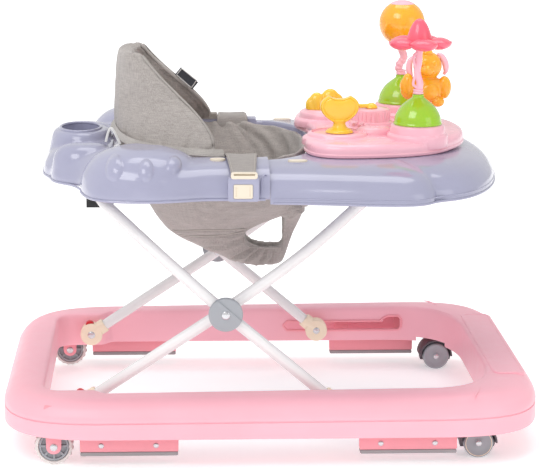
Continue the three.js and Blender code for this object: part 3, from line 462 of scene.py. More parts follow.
RING = {"length": 350, "width": 270, "bottom": 40, "top": 89.5, "climb": 0.01, "inner_y": 215,
        "rear": -296, "front": 288, "pad_y": 198, "parting": 62, "wall": 3}
RING_POINTS = 170
SLOT = {"rear": 39, "front": 211, "bottom": 57.5, "top": 68.5, "notch": 186, "notch_top": 76}
REAR_WHEEL = Vector((-281, -237, 25))
CASTER = Vector((264, -212.5, 19.5))
TRAIL = 12
HUB = Vector((-62, 0, 186))
REAR_PIVOT = Vector((-247, 0, 62.5))
SLIDE_PIVOT = Vector((84, 0, 62.5))
TRAY_PIVOT = Vector((-222, 0, 335))
GUIDE_PIVOT = Vector((136, 0, 352))
INNER_Y, OUTER_Y = 179, 196
TUBE = 7.5


def ring_outside(inset):
    x, y, soft = RING["length"] - inset, RING["width"] - inset, 0.7 * inset
    half = drawn((-x, 0), (-x, -140), (-x, -240 + soft, -300 + soft, -y, -215, -y), (205, -y),
                 (310 - soft, -y, x, -240 + soft, x, -120), (x, 0))
    return whole(half, RING_POINTS)


def ring_inside(outset):
    rear, front = RING["rear"] - outset, RING["front"] + outset
    side, pad = -RING["inner_y"] - outset, -RING["pad_y"] - outset
    half = drawn((rear, 0), (rear, -160), (rear, -188 - outset, -291, pad, -268, pad), (-236, pad),
                 (-224, pad, -226, side, -212, side), (205, side), (262, side, front, -165, front, -95),
                 (front, 0))
    return whole(half, RING_POINTS)


def climbing(z):
    share = max(0.0, (z - RING["bottom"]) / (RING["top"] - RING["bottom"]))
    return lambda p: z + share * RING["climb"] * p[0]


def base_ring():
    """The channel's section, run round both outlines: up the outside, over, and down the inside."""
    top, low, seam = RING["top"], RING["bottom"], RING["parting"]
    crown = smooth_line([(0, seam + 2), (0.5, 67), (2.5, 72), (9, 81), (18, 87), (28, top)], 3)
    outer = [(31, top - 3), (12, 78), (3.4, 62), (3, low + 1), (2, low), (0.8, low), (0, low + 0.9),
             (0, seam - 1.1), (0.2, seam - 0.8), (1.3, seam - 0.5), (1.3, seam + 0.4), (0.5, seam + 0.9)]
    inner = [(6, top), (3.4, top - 0.5), (1.5, top - 1.8), (0.4, top - 4), (0, top - 7), (0, low + 0.9),
             (0.8, low), (2, low), (3, low + 1), (3, top - 8), (8, top - 3)]
    levels = [lifted(ring_outside(inset), climbing(z)) for inset, z in [*outer, *crown]]
    levels += [lifted(ring_inside(outset), climbing(z)) for outset, z in inner]
    ring = raw(skin(levels, closed=True))
    cutters = []
    for side in SIDES.values():
        y0, y1 = sorted((side * 210, side * 222))
        long = rounded(SLOT["rear"], SLOT["front"], SLOT["bottom"], SLOT["top"], 5)
        notch = rounded(SLOT["notch"], SLOT["front"], SLOT["bottom"], SLOT["notch_top"], 5)
        cutters += [raw(prism(long, y0, y1)), raw(prism(notch, y0, y1))]
        swivel = [(0.01, -5), (41, -5), (41, 6), (0.01, 6)]
        cutters.append(raw(lathe(swivel, (CASTER.x + TRAIL, side * 212.5, 40))))
    return boolean(ring, cutters)


def slot_rim():
    """A raised bead round the slot, which steps up at its front end."""
    r, s = 6.5, SLOT
    line = [(s["rear"] - 2, s["bottom"] + 5), (s["rear"] + 3, s["bottom"] - 1.5)]
    line += [(x, s["bottom"] - 1.5) for x in range(60, 201, 20)]
    line += [(s["front"] - 2, s["bottom"] - 1.0), (s["front"] + 2, s["bottom"] + 4),
             (s["front"] + 2, s["notch_top"] - 4), (s["front"] - 3, s["notch_top"] + 1.5),
             (s["notch"] + r, s["notch_top"] + 1.5), (s["notch"] - 0.5, s["notch_top"] - 2),
             (s["notch"] - 5, s["top"] + 1.5)]
    line += [(x, s["top"] + 1.5) for x in range(170, 50, -20)]
    line += [(s["rear"] + 3, s["top"] + 1.5), (s["rear"] - 2, s["top"] - 4)]
    return sweep([Vector((x, -RING["inner_y"] + 0.6, z)) for x, z in line], 1.7, 10, closed=True)


def front_plate():
    """The raised plate across the front member, with a step along its front edge."""
    def level(inset, rise):
        plan = rounded(293 + inset, 336 - inset, -160 + inset, 160 - inset, max(12 - inset, 2))
        deck = RING["top"] + rise
        return [Vector((x, y, deck + RING["climb"] * x - 0.13 * max(0, x - 324))) for x, y in plan]
    return skin([level(0, -2.5), level(0, 0.9), level(0.5, 1.5), level(1.4, 1.8), level(4.2, 1.8),
                 level(4.8, 1.2), level(7, 1.2)])


def section_rib(x):
    """The low rib across each side rail where the front plate's panel begins."""
    top = RING["top"] + RING["climb"] * x - 0.1
    line = [Vector((x + 0.35 * (y + 232), y, top - 0.022 * max(0, -y - 238)**1.6))
            for y in range(-262, -217, 4)]
    return sweep(line, lambda share: 1.1 * sin(pi * min(max(share, 0.04), 0.96))**0.4, 8)


piece("base_ring_shell", base_ring(), "base", "pink_shell", ["base_ring"], sharp=28)
pair("slot_rim", slot_rim(), "base", "deep_pink")
piece("front_plate", front_plate(), "base", "pink_shell", sharp=28)
pair("section_rib", section_rib(262), "base", "pink_shell")
pair("caster_socket", lathe([(5.4, 6), (5.4, 32), (9, 32), (9, 6), (8.2, 5.2), (6, 5.2)],
                            (CASTER.x + TRAIL, CASTER.y, 54)), "base", "pink_shell")

# ------------------------------------------------------------------ skids and rear wheels


def rivet(x, y, z, radius, height=1.2):
    """A domed rivet head facing -Y."""
    profile = [(0, 2), (radius * 0.8, 2), (radius, 1), (radius, -0.15 * height)]
    profile += [(radius * cos(t), -0.15 * height - height * sin(t)) for t in (0.35, 0.75, 1.15)]
    profile.append((0, -1.2 * height))
    return lathe(profile, (x, y, z), "Y", 32)


SKID = {"half": 62.5, "thickness": 12, "y": -250, "bottom": 13.5, "pad": 5, "rear": -185.5, "front": 170.5}


def skid_holder(x):
    """A long block under the side rail, with two lugs that run up into it."""
    half, y0, y1 = SKID["half"], SKID["y"], SKID["y"] + SKID["thickness"]
    block = prism(rounded(x - half, x + half, SKID["bottom"] + SKID["pad"] + 0.2, 46, 1.6, 3), y0, y1)
    lugs = [prism(rounded(at - 10, at + 10, 44, 80, 1.5, 3), y0 + 2, y1 - 2)
            for at in (x + 18 - half, x + half - 18)]
    return merged(block, *lugs)


def skid_strip(x):
    """The rubber strip below the holder, a little wider than it."""
    reach, low, y = SKID["half"] - 0.5, SKID["bottom"], SKID["y"]
    outline = rounded(x - reach, x + reach, low, low + SKID["pad"], 1.8, 4)
    return prism(outline, y - 0.8, y + SKID["thickness"] + 0.8)


for place in ("rear", "front"):
    x = SKID[place]
    pair(f"skid_{place}", skid_holder(x), "base", "deep_pink", [f"skid_holder_{place}"], bevel=0.7)
    pair(f"skid_strip_{place}", skid_strip(x), "base", "rubber", [f"skid_pad_{place}"], bevel=0.5)
    heads = [rivet(at, SKID["y"] - 0.1, 27, 3.6) for at in (x - 35.5, x + 34)]
    pair(f"skid_rivets_{place}", merged(*heads), "base", "steel", sharp=60)


def wheel_fork():
    """A crown under the ring and two arms that taper round the axle."""
    x, y, z = REAR_WHEEL
    turns = [pi * i / 16 for i in range(17)]
    foot = [(x - 9.5 * cos(t), z - 9.5 * sin(t) * 0.95) for t in turns]
    arm = [(x - 11, 62), *foot, (x + 11, 62)]
    crown = prism(rounded(x - 12, x + 12, 54, 80, 3, 4), y - 12, y + 12)
    return merged(crown, prism(arm, y - 12, y - 9.2), prism(arm, y + 9.2, y + 12))


def scalloped(radius, bore, half):
    """A tread whose rim runs in waves, with rounded shoulders."""
    lobes, depth = 20, 1.6
    turns = [pi * i / (5 * lobes) for i in range(10 * lobes)]
    shape = [abs(cos(lobes * t / 2))**0.8 for t in turns]
    levels = [(1 - half, bore), (-half, bore + 0.6), (-half, radius - 2.4), (0.7 - half, radius - 0.9),
              (2 - half, radius - 0.2), (3.2 - half, radius)]
    levels += [(-y, r) for y, r in reversed(levels)]
    rings = []
    for y, r in levels:
        wave = depth * min(1.0, max(0.0, (r - bore) / (radius - bore) * 1.6 - 0.6))
        reach = [r - wave * s for s in shape]
        rings.append([Vector((at * cos(t), y, at * sin(t))) for t, at in zip(turns, reach)])
    return skin(rings, closed=True)


def moved(shape, offset):
    verts, faces = shape
    return [Vector(v) + Vector(offset) for v in verts], faces


def turned_y(shape, degrees):
    spin = Matrix.Rotation(radians(degrees), 3, "Y")
    return [spin @ Vector(v) for v in shape[0]], shape[1]


def spoked_hub(radius, face, spokes):
    """A rim, a boss and raised spokes over a recessed web, the same on both faces."""
    web = face - 3.2
    rim = lathe([(radius - 3, -web), (radius - 2.6, -face + 0.4), (radius - 2, -face), (radius - 0.5, -face),
                 (radius, -face + 0.5), (radius, face - 0.5), (radius - 0.5, face), (radius - 2, face),
                 (radius - 2.6, face - 0.4), (radius - 3, web), (4, web), (4, -web)], (0, 0, 0), "Y", 72)
    boss = lathe([(2.8, -face - 0.4), (5.2, -face - 0.4), (5.9, -face + 0.4), (5.9, face - 0.4),
                  (5.2, face + 0.4), (2.8, face + 0.4)], (0, 0, 0), "Y", 40)
    arms = []
    for k in range(spokes):
        bar = prism(rounded(4.6, radius - 1.6, -1.3, 1.3, 0.6, 2), -face + 0.9, face - 0.9)
        arms.append(turned_y(bar, 360 * k / spokes))
    return merged(rim, boss, *arms)


def pinned(y, radius, height, shaft):
    """A steel pin through the origin along Y, with a rivet head at each end."""
    head = rivet(0, -y, 0, radius, height)
    return merged(head, mirror(head), lathe([(2.5, -shaft), (2.5, shaft)], (0, 0, 0), "Y", 24))


pair("fork", wheel_fork(), "base", "deep_pink", ["wheel_fork"], bevel=0.6)
pair("axle", moved(pinned(12.1, 5, 1.3, 12), REAR_WHEEL), "base", "steel", ["wheel_axle"], sharp=60)
pair("tread", moved(scalloped(25, 19.6, 8), REAR_WHEEL), "rear_wheel", "tread", ["wheel_tyre"], sharp=40)
pair("hub", moved(spoked_hub(19, 7, 8), REAR_WHEEL), "rear_wheel", "grey", ["wheel_hub"], sharp=40)

# ------------------------------------------------------------------ casters


def caster_hood():
    """A fender over both discs on a middle web, with the stem that swivels in the ring."""
    x, y, z = CASTER
    arc = [pi * i / 24 for i in range(25)]
    fender = [(x + 24.5 * cos(t), z + 24.5 * sin(t)) for t in arc]
    fender += [(x + 22 * cos(t), z + 22 * sin(t)) for t in reversed(arc)]
    wide = [-0.35 + (pi + 0.7) * i / 28 for i in range(29)]
    web = [(x + 23.4 * cos(t), z + 23.4 * sin(t)) for t in wide]
    stem = lathe([(5.6, 30), (5.6, 47), (5, 48), (5, 78), (3.6, 80)], (x + TRAIL, y, 0))
    neck = prism(rounded(x + TRAIL - 7, x + TRAIL + 7, z + 17, z + 27, 4, 4), y - 7, y + 7)
    return merged(prism(fender, y - 18, y + 18), prism(web, y - 5, y + 5), stem, neck)


def caster_disc():
    """A smooth disc with a shallow dish and a boss, facing -Y."""
    r = CASTER.z
    dish = [(2.9, 0.4), (5.4, 0.2), (5.8, 1.2), (8.5, 1.9), (r - 6, 1.5), (r - 4.2, 0.6), (r - 2.4, 0.2),
            (r - 0.9, 0.9), (r, 2.4), (r, 11), (r - 1, 12), (2.9, 12)]
    return lathe(dish, (0, 0, 0), "Y", 72)


def rim_line():
    """The fine pale ring near the outer disc's edge."""
    thin, steps = 0.5, [pi * i / 3 for i in range(6)]
    section = [(CASTER.z - 2.6 + thin * cos(t), 0.25 - thin * sin(t)) for t in steps]
    turns = [2 * pi * i / 72 for i in range(72)]
    return skin([[Vector((r * cos(a), h, r * sin(a))) for r, h in section] for a in turns], closed=True)


FACE = Vector((0, 18, 0))
pair("caster_fender", caster_hood(), "caster", "dark_grey", ["caster_hood"], bevel=0.4)
outer_disc = moved(caster_disc(), CASTER - FACE)
inner_disc = moved(mirror(caster_disc()), CASTER + FACE)
pair("caster_wheel_outer", outer_disc, "caster_wheels", "grey", ["caster_disc_outer"])
pair("caster_wheel_inner", inner_disc, "caster_wheels", "grey", ["caster_disc_inner"])
pair("caster_rim_line", moved(rim_line(), CASTER - FACE), "caster_wheels", "cream")
caster_pin = moved(pinned(18.1, 4, 1.2, 17), CASTER)
pair("caster_pin", caster_pin, "caster_wheels", "steel", ["caster_axle"], sharp=60)

# ------------------------------------------------------------------ scissor frame


def along(a, b, distance):
    return a + (b - a).normalized() * distance


def u_line(leg, bend, y, bend_radius):
    """Up the right leg, round its bend and across to the middle, then the same down the left."""
    leg = [Vector((p.x, -y, p.z)) for p in leg]
    corner = Vector((bend.x, -y, bend.z))
    back = (leg[-1] - corner).normalized()
    start = corner + back * bend_radius
    arc = []
    for i in range(13):
        turn = radians(90 * i / 12)
        inward = Vector((0, bend_radius * (1 - cos(turn)), 0))
        arc.append(corner + back * bend_radius * (1 - sin(turn)) + inward)
    straight = smooth_line([*leg, start], 8)
    right = straight[:-1] + arc
    middle = [Vector((bend.x, y2, bend.z)) for y2 in range(-140, 141, 20)]
    return right + middle + [Vector((p.x, -p.y, p.z)) for p in reversed(right)]


def open_tube(line, radius, wall):
    """A tube with open ends: its outside, then its inside the other way."""
    outside, _ = sweep(line, radius, 24)
    inside, _ = sweep(line, radius - wall, 24)
    rings = [outside[i:i + 24] for i in range(0, len(outside), 24)]
    rings += [inside[i:i + 24] for i in range(len(inside) - 24, -1, -24)]
    return skin(rings, closed=True)


INNER_LEG = [along(REAR_PIVOT, HUB, 12), along(REAR_PIVOT, HUB, 110), HUB, Vector((33, 0, 255)),
             Vector((106, 0, 320))]
OUTER_LEG = [along(SLIDE_PIVOT, HUB, 12), along(SLIDE_PIVOT, HUB, 95), HUB, Vector((-137, 0, 254))]
INNER_LINE = u_line(INNER_LEG, GUIDE_PIVOT, INNER_Y, 26)
OUTER_LINE = u_line(OUTER_LEG, TRAY_PIVOT, OUTER_Y, 22)
piece("inner_tube", open_tube(INNER_LINE, TUBE, 1.4), "inner_scissor", "white_tube", ["inner_frame"])
piece("outer_tube", open_tube(OUTER_LINE, TUBE, 1.4), "outer_scissor", "white_tube", ["outer_frame"])


def foot(pivot, y):
    """A round boss on the pivot that runs out into a socket round the tube's end."""
    slope = atan2(HUB.z - pivot.z, HUB.x - pivot.x)
    ahead = Vector((cos(slope), 0, sin(slope)))
    centre = Vector((pivot.x, -y, pivot.z))
    boss = [(3.9, -9.5), (14.6, -9.5), (16, -8.1), (16, 8.1), (14.6, 9.5), (3.9, 9.5)]
    boss = raw(moved(lathe(boss, (0, 0, 0), "Y", 56), centre))
    sleeve = [centre + ahead * d for d in (4, 10, 16, 22, 24)]
    block = raw(sweep(sleeve, lambda share: 11.4 - 0.9 * max(0, share - 0.75) * 4, 32, squash=0.83))
    body = boolean(boss, [block], "UNION")
    bore = [centre + ahead * d for d in (11.5, 40)]
    return boolean(body, [raw(sweep(bore, TUBE + 0.25, 32))])


def hold(obj):
    """The shape of a scratch object, in millimetres, so that it can be mirrored."""
    verts = [v.co / MM for v in obj.data.vertices]
    faces = [tuple(p.vertices) for p in obj.data.polygons]
    bpy.data.objects.remove(obj)
    return verts, faces


LOCK = (REAR_PIVOT.x - 2.5, REAR_PIVOT.z + 12)


def inner_foot():
    body = foot(REAR_PIVOT, INNER_Y)
    spacer = lathe([(3.9, -8.9), (9, -8.9), (9, 1), (3.9, 1)], (REAR_PIVOT.x, -188.8, REAR_PIVOT.z), "Y", 40)
    body = boolean(body, [raw(spacer)], "UNION")
    x, z = LOCK
    pocket = prism(rounded(x - 6.4, x + 6.4, z - 3.3, z + 12, 0.5, 2), -INNER_Y - 4.3, -INNER_Y + 4.3)
    return boolean(body, [raw(pocket)])


def outer_foot():
    body = foot(SLIDE_PIVOT, OUTER_Y)
    pin = [(0, -24.5), (2.4, -24.5), (3, -23.8), (3, -15.8), (8, -15.8), (8, 5), (0, 5)]
    pin = raw(lathe(pin, (SLIDE_PIVOT.x, -198, SLIDE_PIVOT.z), "Y", 40))
    return boolean(body, [pin], "UNION")


def lock_button():
    x, z = LOCK
    arc = [pi * i / 20 for i in range(21)]
    shape = [(x - 6, z), (x + 6, z)] + [(x + 6 * cos(t), z + 1.5 + 6 * sin(t)) for t in arc]
    return prism(shape, -INNER_Y - 4, -INNER_Y + 4)


pair("foot_rear", hold(inner_foot()), "inner_scissor", "cream", ["inner_foot"], bevel=0.7)
pair("foot_front", hold(outer_foot()), "outer_scissor", "cream", ["outer_foot"], bevel=0.7)
pair("release", lock_button(), "lock", "red", ["lock_button"], bevel=0.9)
heads = merged(mirror(rivet(REAR_PIVOT.x, INNER_Y - 9.7, REAR_PIVOT.z, 5.5, 1.4)),
               rivet(REAR_PIVOT.x, -201.2, REAR_PIVOT.z, 5.5, 1.2),
               lathe([(3.5, -31), (3.5, 0)], (REAR_PIVOT.x, -169.8, REAR_PIVOT.z), "Y", 32))
pair("pin", heads, "base", "steel", ["foot_pin"], sharp=60)
front_head = mirror(rivet(SLIDE_PIVOT.x, OUTER_Y - 9.6, SLIDE_PIVOT.z, 5, 1.4))
pair("foot_front_rivet", front_head, "outer_scissor", "steel", sharp=60)


def hub_cap():
    """A round cap over the crossing, whose edge steps back over the upper front third."""
    x, z = HUB.x, HUB.z
    y = -OUTER_Y - TUBE - 4
    disc = lathe([(3.3, 6.4), (21, 6.4), (22, 5.6), (22, 1.4), (20.9, 0), (3.3, 0)], (x, y, z), "Y", 72)
    turns = [radians(118 + (340 - 118) * i / 40) for i in range(41)]
    raised = [(x + 21.3 * cos(t), z + 21.3 * sin(t)) for t in turns]
    cap = boolean(raw(disc), [raw(prism(raised, y - 1.5, y + 2))], "UNION")
    saddle = raw(sweep(OUTER_LINE[:26], TUBE + 0.3, 32))
    bore = raw(lathe([(3.2, -10), (3.2, 10)], (x, y, z), "Y", 32))
    return boolean(cap, [saddle, bore])


pair("hub_cover", hold(hub_cap()), "outer_scissor", "grey", ["hub_cap"], bevel=0.5)
shaft = lathe([(3, 0), (3, 38)], (HUB.x, -209.3, HUB.z), "Y", 32)
heads = merged(rivet(HUB.x, -209.4, HUB.z, 5.6, 1.5), mirror(rivet(HUB.x, 171.0, HUB.z, 5.6, 1.4)), shaft)
pair("hub_pin", heads, "inner_scissor", "steel", ["hub_rivet"], sharp=60)

# ------------------------------------------------------------------ trays

SEAM_X = -8
REAR_BOTTOM, FRONT_BOTTOM = 341, 336
DECK, FRONT_DECK = 384, 380
CUP = {"x": -252, "rx": 25.5, "ry": 39, "floor": 350, "rim": 397}


def rear_outline(inset):
    soft = 0.6 * inset
    rear_bow = (-299 + inset, -70, -290 + inset, -72, -288 + inset, -92)
    shoulder = (-284 + inset, -128 + soft, -252 + soft, -128 + soft, -246 + inset, -160)
    bulge = (-246 + inset, -238 + soft, -220 + soft, -256 + inset, -165, -257 + inset)
    waist = (-120, -256 + inset, -110, -242 + inset, -85, -241 + inset)
    rear, side = -302 + inset, -238.5 + inset
    half = drawn((rear, 0), (rear + 1, -35), rear_bow, shoulder, bulge, waist, (20, side), (20, 0))
    return whole(half, 150)


def front_outline(inset):
    i = inset
    swell = (60, -242 + i, 100, -256 + i, 150, -257 + i)
    kink = (185 - 0.3 * i, -257 + i, 196 - 0.5 * i, -243 + i, 203 - 0.6 * i, -226 + 0.9 * i)
    nose = (266 - 0.7 * i, -218 + 0.8 * i, 306 - i, -104, 306 - i, 0)
    return whole(drawn((-40, 0), (-40, -239 + i), (SEAM_X, -239 + i), swell, kink, nose), 150)


def opening_outline(outset):
    o = outset
    rear, side, front = -206 - o, -168 - o, 54 + o
    half = drawn((rear, 0), (rear, -70), (rear, -140, -165, side, -110, side), (-30, side),
                 (20, side, front, -120, front, -60), (front, 0))
    return whole(half, 120)


def upright(outline, low, high):
    """A straight-sided solid between two heights."""
    return raw(skin([lifted(outline, z) for z in (low, high)]))


def domed(outline, profile):
    """A solid whose outline draws in as it rises. The profile is pairs of a height and an inset."""
    heights = smooth_line([(inset, z) for z, inset in profile], 4)
    return skin([lifted(outline(max(0, p.x)), p.y) for p in heights])


def lobe(x, y, rx, ry):
    return lambda inset: oval(x, y, rx - inset, ry - inset, 72)


def opening_cutter(low, deck):
    levels = [(0, low), (0, deck - 5), (0.8, deck - 2.6), (2.4, deck - 0.9), (5, deck), (5.6, deck + 30)]
    return raw(skin([lifted(opening_outline(o), z) for o, z in levels]))


FAR = 400
SIDE = [(REAR_BOTTOM, 0), (351, 0.6), (358, 3), (370, 11), (379, 28), (DECK, 58)]
FRONT = [(FRONT_BOTTOM, 0), (345, 0.8), (353, 4), (366, 16), (375, 39), (FRONT_DECK, 72)]
CUP_BODY = [(REAR_BOTTOM, 0), (346, 2.5), (372, 8), (388, 12), (394, 16), (CUP["rim"] - 1, 21)]
CUP_WELL = [(CUP["floor"], 9), (CUP["floor"] + 3, 4.5), (CUP["floor"] + 9, 2.4), (CUP["rim"] - 4, 1.2),
            (CUP["rim"] - 1.5, 0.3), (CUP["rim"] + 6, 0)]
CUP_UNDER = [(CUP["floor"] - 3, 5), (354, 1), (420, 0)]
BULGE = [(REAR_BOTTOM, 0), (364, 2), (380, 11), (392, 26), (399.5, 50)]
SHOULDER = [(REAR_BOTTOM, 0), (368, 3), (380, 8), (387, 17), (389.5, 28)]
BULGES = [lobe(-168, side * 178, 78, 79) for side in (-1, 1)]
SHOULDERS = [lobe(-245, side * 90, 43, 38) for side in (-1, 1)]


def cup_lobe(wall):
    return lobe(CUP["x"], 0, CUP["rx"] + wall, CUP["ry"] + wall)


def hollow(profile, floor, wall=3.0):
    """The profile of the space under a shell."""
    return [(floor - 20, wall)] + [(z - wall * (0.3 + 0.7 * k / (len(profile) - 1)), inset + wall)
                                   for k, (z, inset) in enumerate(profile) if k]


def rear_tray():
    solids = [raw(domed(rear_outline, SIDE)), raw(domed(lobe(CUP["x"] + 2, 0, 52, 66), CUP_BODY))]
    solids += [raw(domed(outline, BULGE)) for outline in BULGES]
    solids += [raw(domed(outline, SHOULDER)) for outline in SHOULDERS]
    tray = blob(solids, 2.3, 10)
    room = raw(domed(rear_outline, hollow(SIDE, REAR_BOTTOM)))
    boolean(room, [raw(domed(outline, hollow(BULGE, REAR_BOTTOM, 4))) for outline in BULGES], "UNION")
    boolean(room, [upright(opening_outline(3), REAR_BOTTOM + 12, 500), raw(domed(cup_lobe(3), CUP_UNDER))])
    seam = SEAM_X - 0.2
    beyond = upright([(seam, -FAR), (FAR, -FAR), (FAR, FAR), (seam, FAR)], 250, 500)
    return boolean(tray, [room, raw(domed(cup_lobe(1.2), CUP_WELL)), opening_cutter(300, DECK + 2), beyond])


def front_tray():
    tray = raw(domed(front_outline, FRONT))
    room = raw(domed(front_outline, hollow(FRONT, FRONT_BOTTOM)))
    boolean(room, [upright(opening_outline(3), FRONT_BOTTOM + 12, 500)])
    seam = SEAM_X + 0.2
    behind = upright([(-FAR, -FAR), (seam, -FAR), (seam, FAR), (-FAR, FAR)], 250, 500)
    return boolean(tray, [room, opening_cutter(300, FRONT_DECK + 1), behind])


def surface(obj):
    """A tree for finding points on an object, and calls that work in millimetres."""
    graph = bpy.context.evaluated_depsgraph_get()
    tree = BVHTree.FromObject(obj, graph)

    def nearest(point):
        place, normal, _, _ = tree.find_nearest(Vector(point) * MM)
        return place / MM, normal

    def hit(point, direction):
        place, normal, _, _ = tree.ray_cast(Vector(point) * MM, Vector(direction))
        return (place / MM, normal) if place else (None, None)

    return nearest, hit


def eased(line, passes):
    for _ in range(passes):
        inner = [(a + 2 * b + c) / 4 for a, b, c in zip(line, line[1:], line[2:])]
        line = [line[0], *inner, line[-1]]
    return line


rear_shell = rear_tray()
front_shell = front_tray()
rear_near, rear_hit = surface(rear_shell)
front_near, _ = surface(front_shell)


def lip(path, near, z, radius):
    """The thin lip round a tray's lower edge, found from a path that runs outside it."""
    line = [near((p.x, p.y, z))[0] for p in path]
    return sweep(eased([Vector((p.x, p.y, z)) for p in line], 3), radius, 10)


half = drawn((-325, 0), (-325, -40), (-320, -90, -300, -150, -275, -190),
             (-262, -262, -220, -275, -165, -275), (-110, -272), (20, -255))
rear_path = whole(half, 170)
rear_path = [p for p in rear_path[170:] + rear_path[:170] if p.x < SEAM_X - 2]
front_path = [p for p in front_outline(-10) if p.x > SEAM_X + 2]
piece("tray_rear_shell", rear_shell, "tray", "lavender_tray", ["rear_tray"], sharp=38)
piece("tray_front_shell", front_shell, "tray", "lavender_tray", ["front_tray"], sharp=38)
piece("tray_rear_lip", lip(rear_path, rear_near, REAR_BOTTOM + 1.2, 1.7), "tray", "lavender_tray")
for number, (height, radius) in enumerate(((FRONT_BOTTOM + 1.2, 1.6), (FRONT_BOTTOM + 7, 0.9))):
    edge = lip(front_path, front_near, height, radius)
    piece(f"tray_front_lip_{number}", edge, "tray", "lavender_tray")


def on_side(hit, x, z, height):
    """The point on the right side of a tray at x and z, raised outwards by a height."""
    place, normal = hit((x, -FAR, z), (0, 1, 0))
    return place + normal * height if place else Vector((x, -241, z))


def side_oval(x, z, rx, rz, lean, crown):
    """A shallow convex oval on the tray's side with a fine groove round it."""
    rows = [(0.0, crown), (0.25, crown * 0.95), (0.5, crown * 0.8), (0.7, crown * 0.58), (0.86, crown * 0.3),
            (0.96, crown * 0.08), (1.02, 0.1), (1.1, -0.5)]
    rings = []
    for share, height in rows:
        ring = []
        for i in range(40):
            turn = 2 * pi * i / 40
            u, v = max(share, 0.02) * rx * cos(turn), max(share, 0.02) * rz * sin(turn)
            ring.append(on_side(rear_hit, x + u + lean * v, z + v, height))
        rings.append(ring)
    back = [p + Vector((0, 2.5, 0)) for p in rings[-1]]
    return skin([*rings, back])


OVALS = [(-201.6, 381, 11.0, 14.0, 0.15, 4.6), (-162.2, 380, 9.8, 12.4, 0.0, 4.6),
         (-127.7, 383.5, 9.8, 9.2, -0.1, 4.2)]
for number, place in enumerate(OVALS):
    pair(f"tray_oval_{number}", side_oval(*place), "tray", "lavender_tray", sharp=30)


def cup_rim():
    """The rolled rim of the snack cup."""
    line = oval(CUP["x"], 0, CUP["rx"] + 1.6, CUP["ry"] + 1.6, 72)
    return sweep(lifted(line, CUP["rim"] - 0.6), 2.1, 12, closed=True)


def pad(x, y, rx, ry, z, height, soft):
    """An oval pad with a rounded edge."""
    top = z + height
    levels = [(z, 0), (top - soft, 0), (top - soft * 0.3, soft * 0.3), (top, soft), (top, soft * 2)]
    return skin([lifted(oval(x, y, rx - inset, ry - inset, 44), level) for level, inset in levels])


piece("cup_rim", cup_rim(), "tray", "lavender_tray", sharp=180)
pair("rest_boss", pad(30, -175, 20, 10, FRONT_DECK - 10, 9, 2.2), "tray", "lavender_tray")
pair("rest_pad", pad(30, -175, 12.5, 6, FRONT_DECK - 2, 3.4, 1.2), "tray", "ivory")
pair("strap_pad", pad(-72, -186, 10, 7, DECK - 6, 7.4, 1.2), "tray", "ivory")

# ------------------------------------------------------------------ buckles and straps

BUCKLE_X, BUCKLE_Y = -41.5, -249
CREASE = 0.6


def buckle_frame():
    body = raw(prism(rounded(BUCKLE_X - 19.5, BUCKLE_X + 19.5, 341, 371, 3, 6), BUCKLE_Y, -233))
    rounded_edges(body, 1.6, 4, CREASE)
    pocket = prism(rounded(-54.3, -29.7, 344.7, 363.3, 2.2, 4), BUCKLE_Y - 5, BUCKLE_Y + 9)
    return hold(boolean(body, [raw(pocket)]))


def buckle_button():
    body = raw(prism(rounded(-54, -30, 345, 363, 2, 5), BUCKLE_Y - 0.8, BUCKLE_Y + 5))
    rounded_edges(body, 1.1, 3, CREASE)
    y = BUCKLE_Y - 0.9
    grooves = [raw(sweep([(x, y, 348), (x, y, 360)], 0.8, 8)) for x in (-50.5, -33.5)]
    return hold(boolean(body, grooves))


def strap_bar():
    """The bar over the buckle, with the slot that the strap runs through."""
    bar = raw(prism(rounded(-57.5, -24, 369.6, 378, 3.2, 5), -249.5, -241.5))
    rounded_edges(bar, 1.2, 3, CREASE)
    slot = raw(prism(rounded(-54, -27.5, 374.2, 376.6, 0.9, 3), -253, -245.5))
    return hold(boolean(bar, [slot]))


def seam_rib():
    """The rib that hides the joint between the two trays, on the rear one's side."""
    path = [(-19, 342), (-19, 352), (-18.6, 362), (-17.5, 368), (-15, 371.4), (-12, 370.5)]
    return sweep([on_side(rear_hit, x, z, 0.2) for x, z in path], 1.5, 10)


pair("buckle_case", buckle_frame(), "tray", "lavender_tray", sharp=40)
pair("buckle_press", buckle_button(), "buckle", "ivory", ["buckle_button"], sharp=40)
pair("strap_bar", strap_bar(), "tray", "ivory", sharp=40)
pair("seam_rib", seam_rib(), "tray", "lavender_tray")


def ribbon(line, widths, thickness, wave):
    """A flat woven strap along a line in the Y-Z plane, with its width along X."""
    line = smooth_line(line, 8)
    rings = []
    for i, point in enumerate(line):
        a, b = line[max(i - 1, 0)], line[min(i + 1, len(line) - 1)]
        ahead = (b - a).normalized()
        up = Vector((0, -ahead.z, ahead.y))
        if up.z < 0:
            up = -up
        share = i / (len(line) - 1)
        x0, x1 = (start + (end - start) * share for start, end in widths)
        top, low = [], []
        for across in [k / 14 for k in range(15)]:
            place = Vector((x0 + (x1 - x0) * across, point.y, point.z))
            lift = up * (thickness / 2 * (1 - abs(2 * across - 1)**8 * 0.6))
            drift = up * wave * sin(7 * across + 4 * share)
            top.append(place + lift + drift)
            low.append(place - lift + drift)
        rings.append(top + low[::-1])
    return skin(rings)


STRAP = [(0, -156, 366), (0, -158.5, 378), (0, -164, 386), (0, -176, 388.4), (0, -192, 387.4),
         (0, -208, 384.6), (0, -224, 380.4), (0, -238, 376.6), (0, -245, 374.6)]
STRAP_REAR, STRAP_FRONT = (-66, -56), (-19, -27)
straps = pair("seat_strap", ribbon(STRAP, (STRAP_REAR, STRAP_FRONT), 1.7, 0.35), "tray", "webbing", sharp=50)


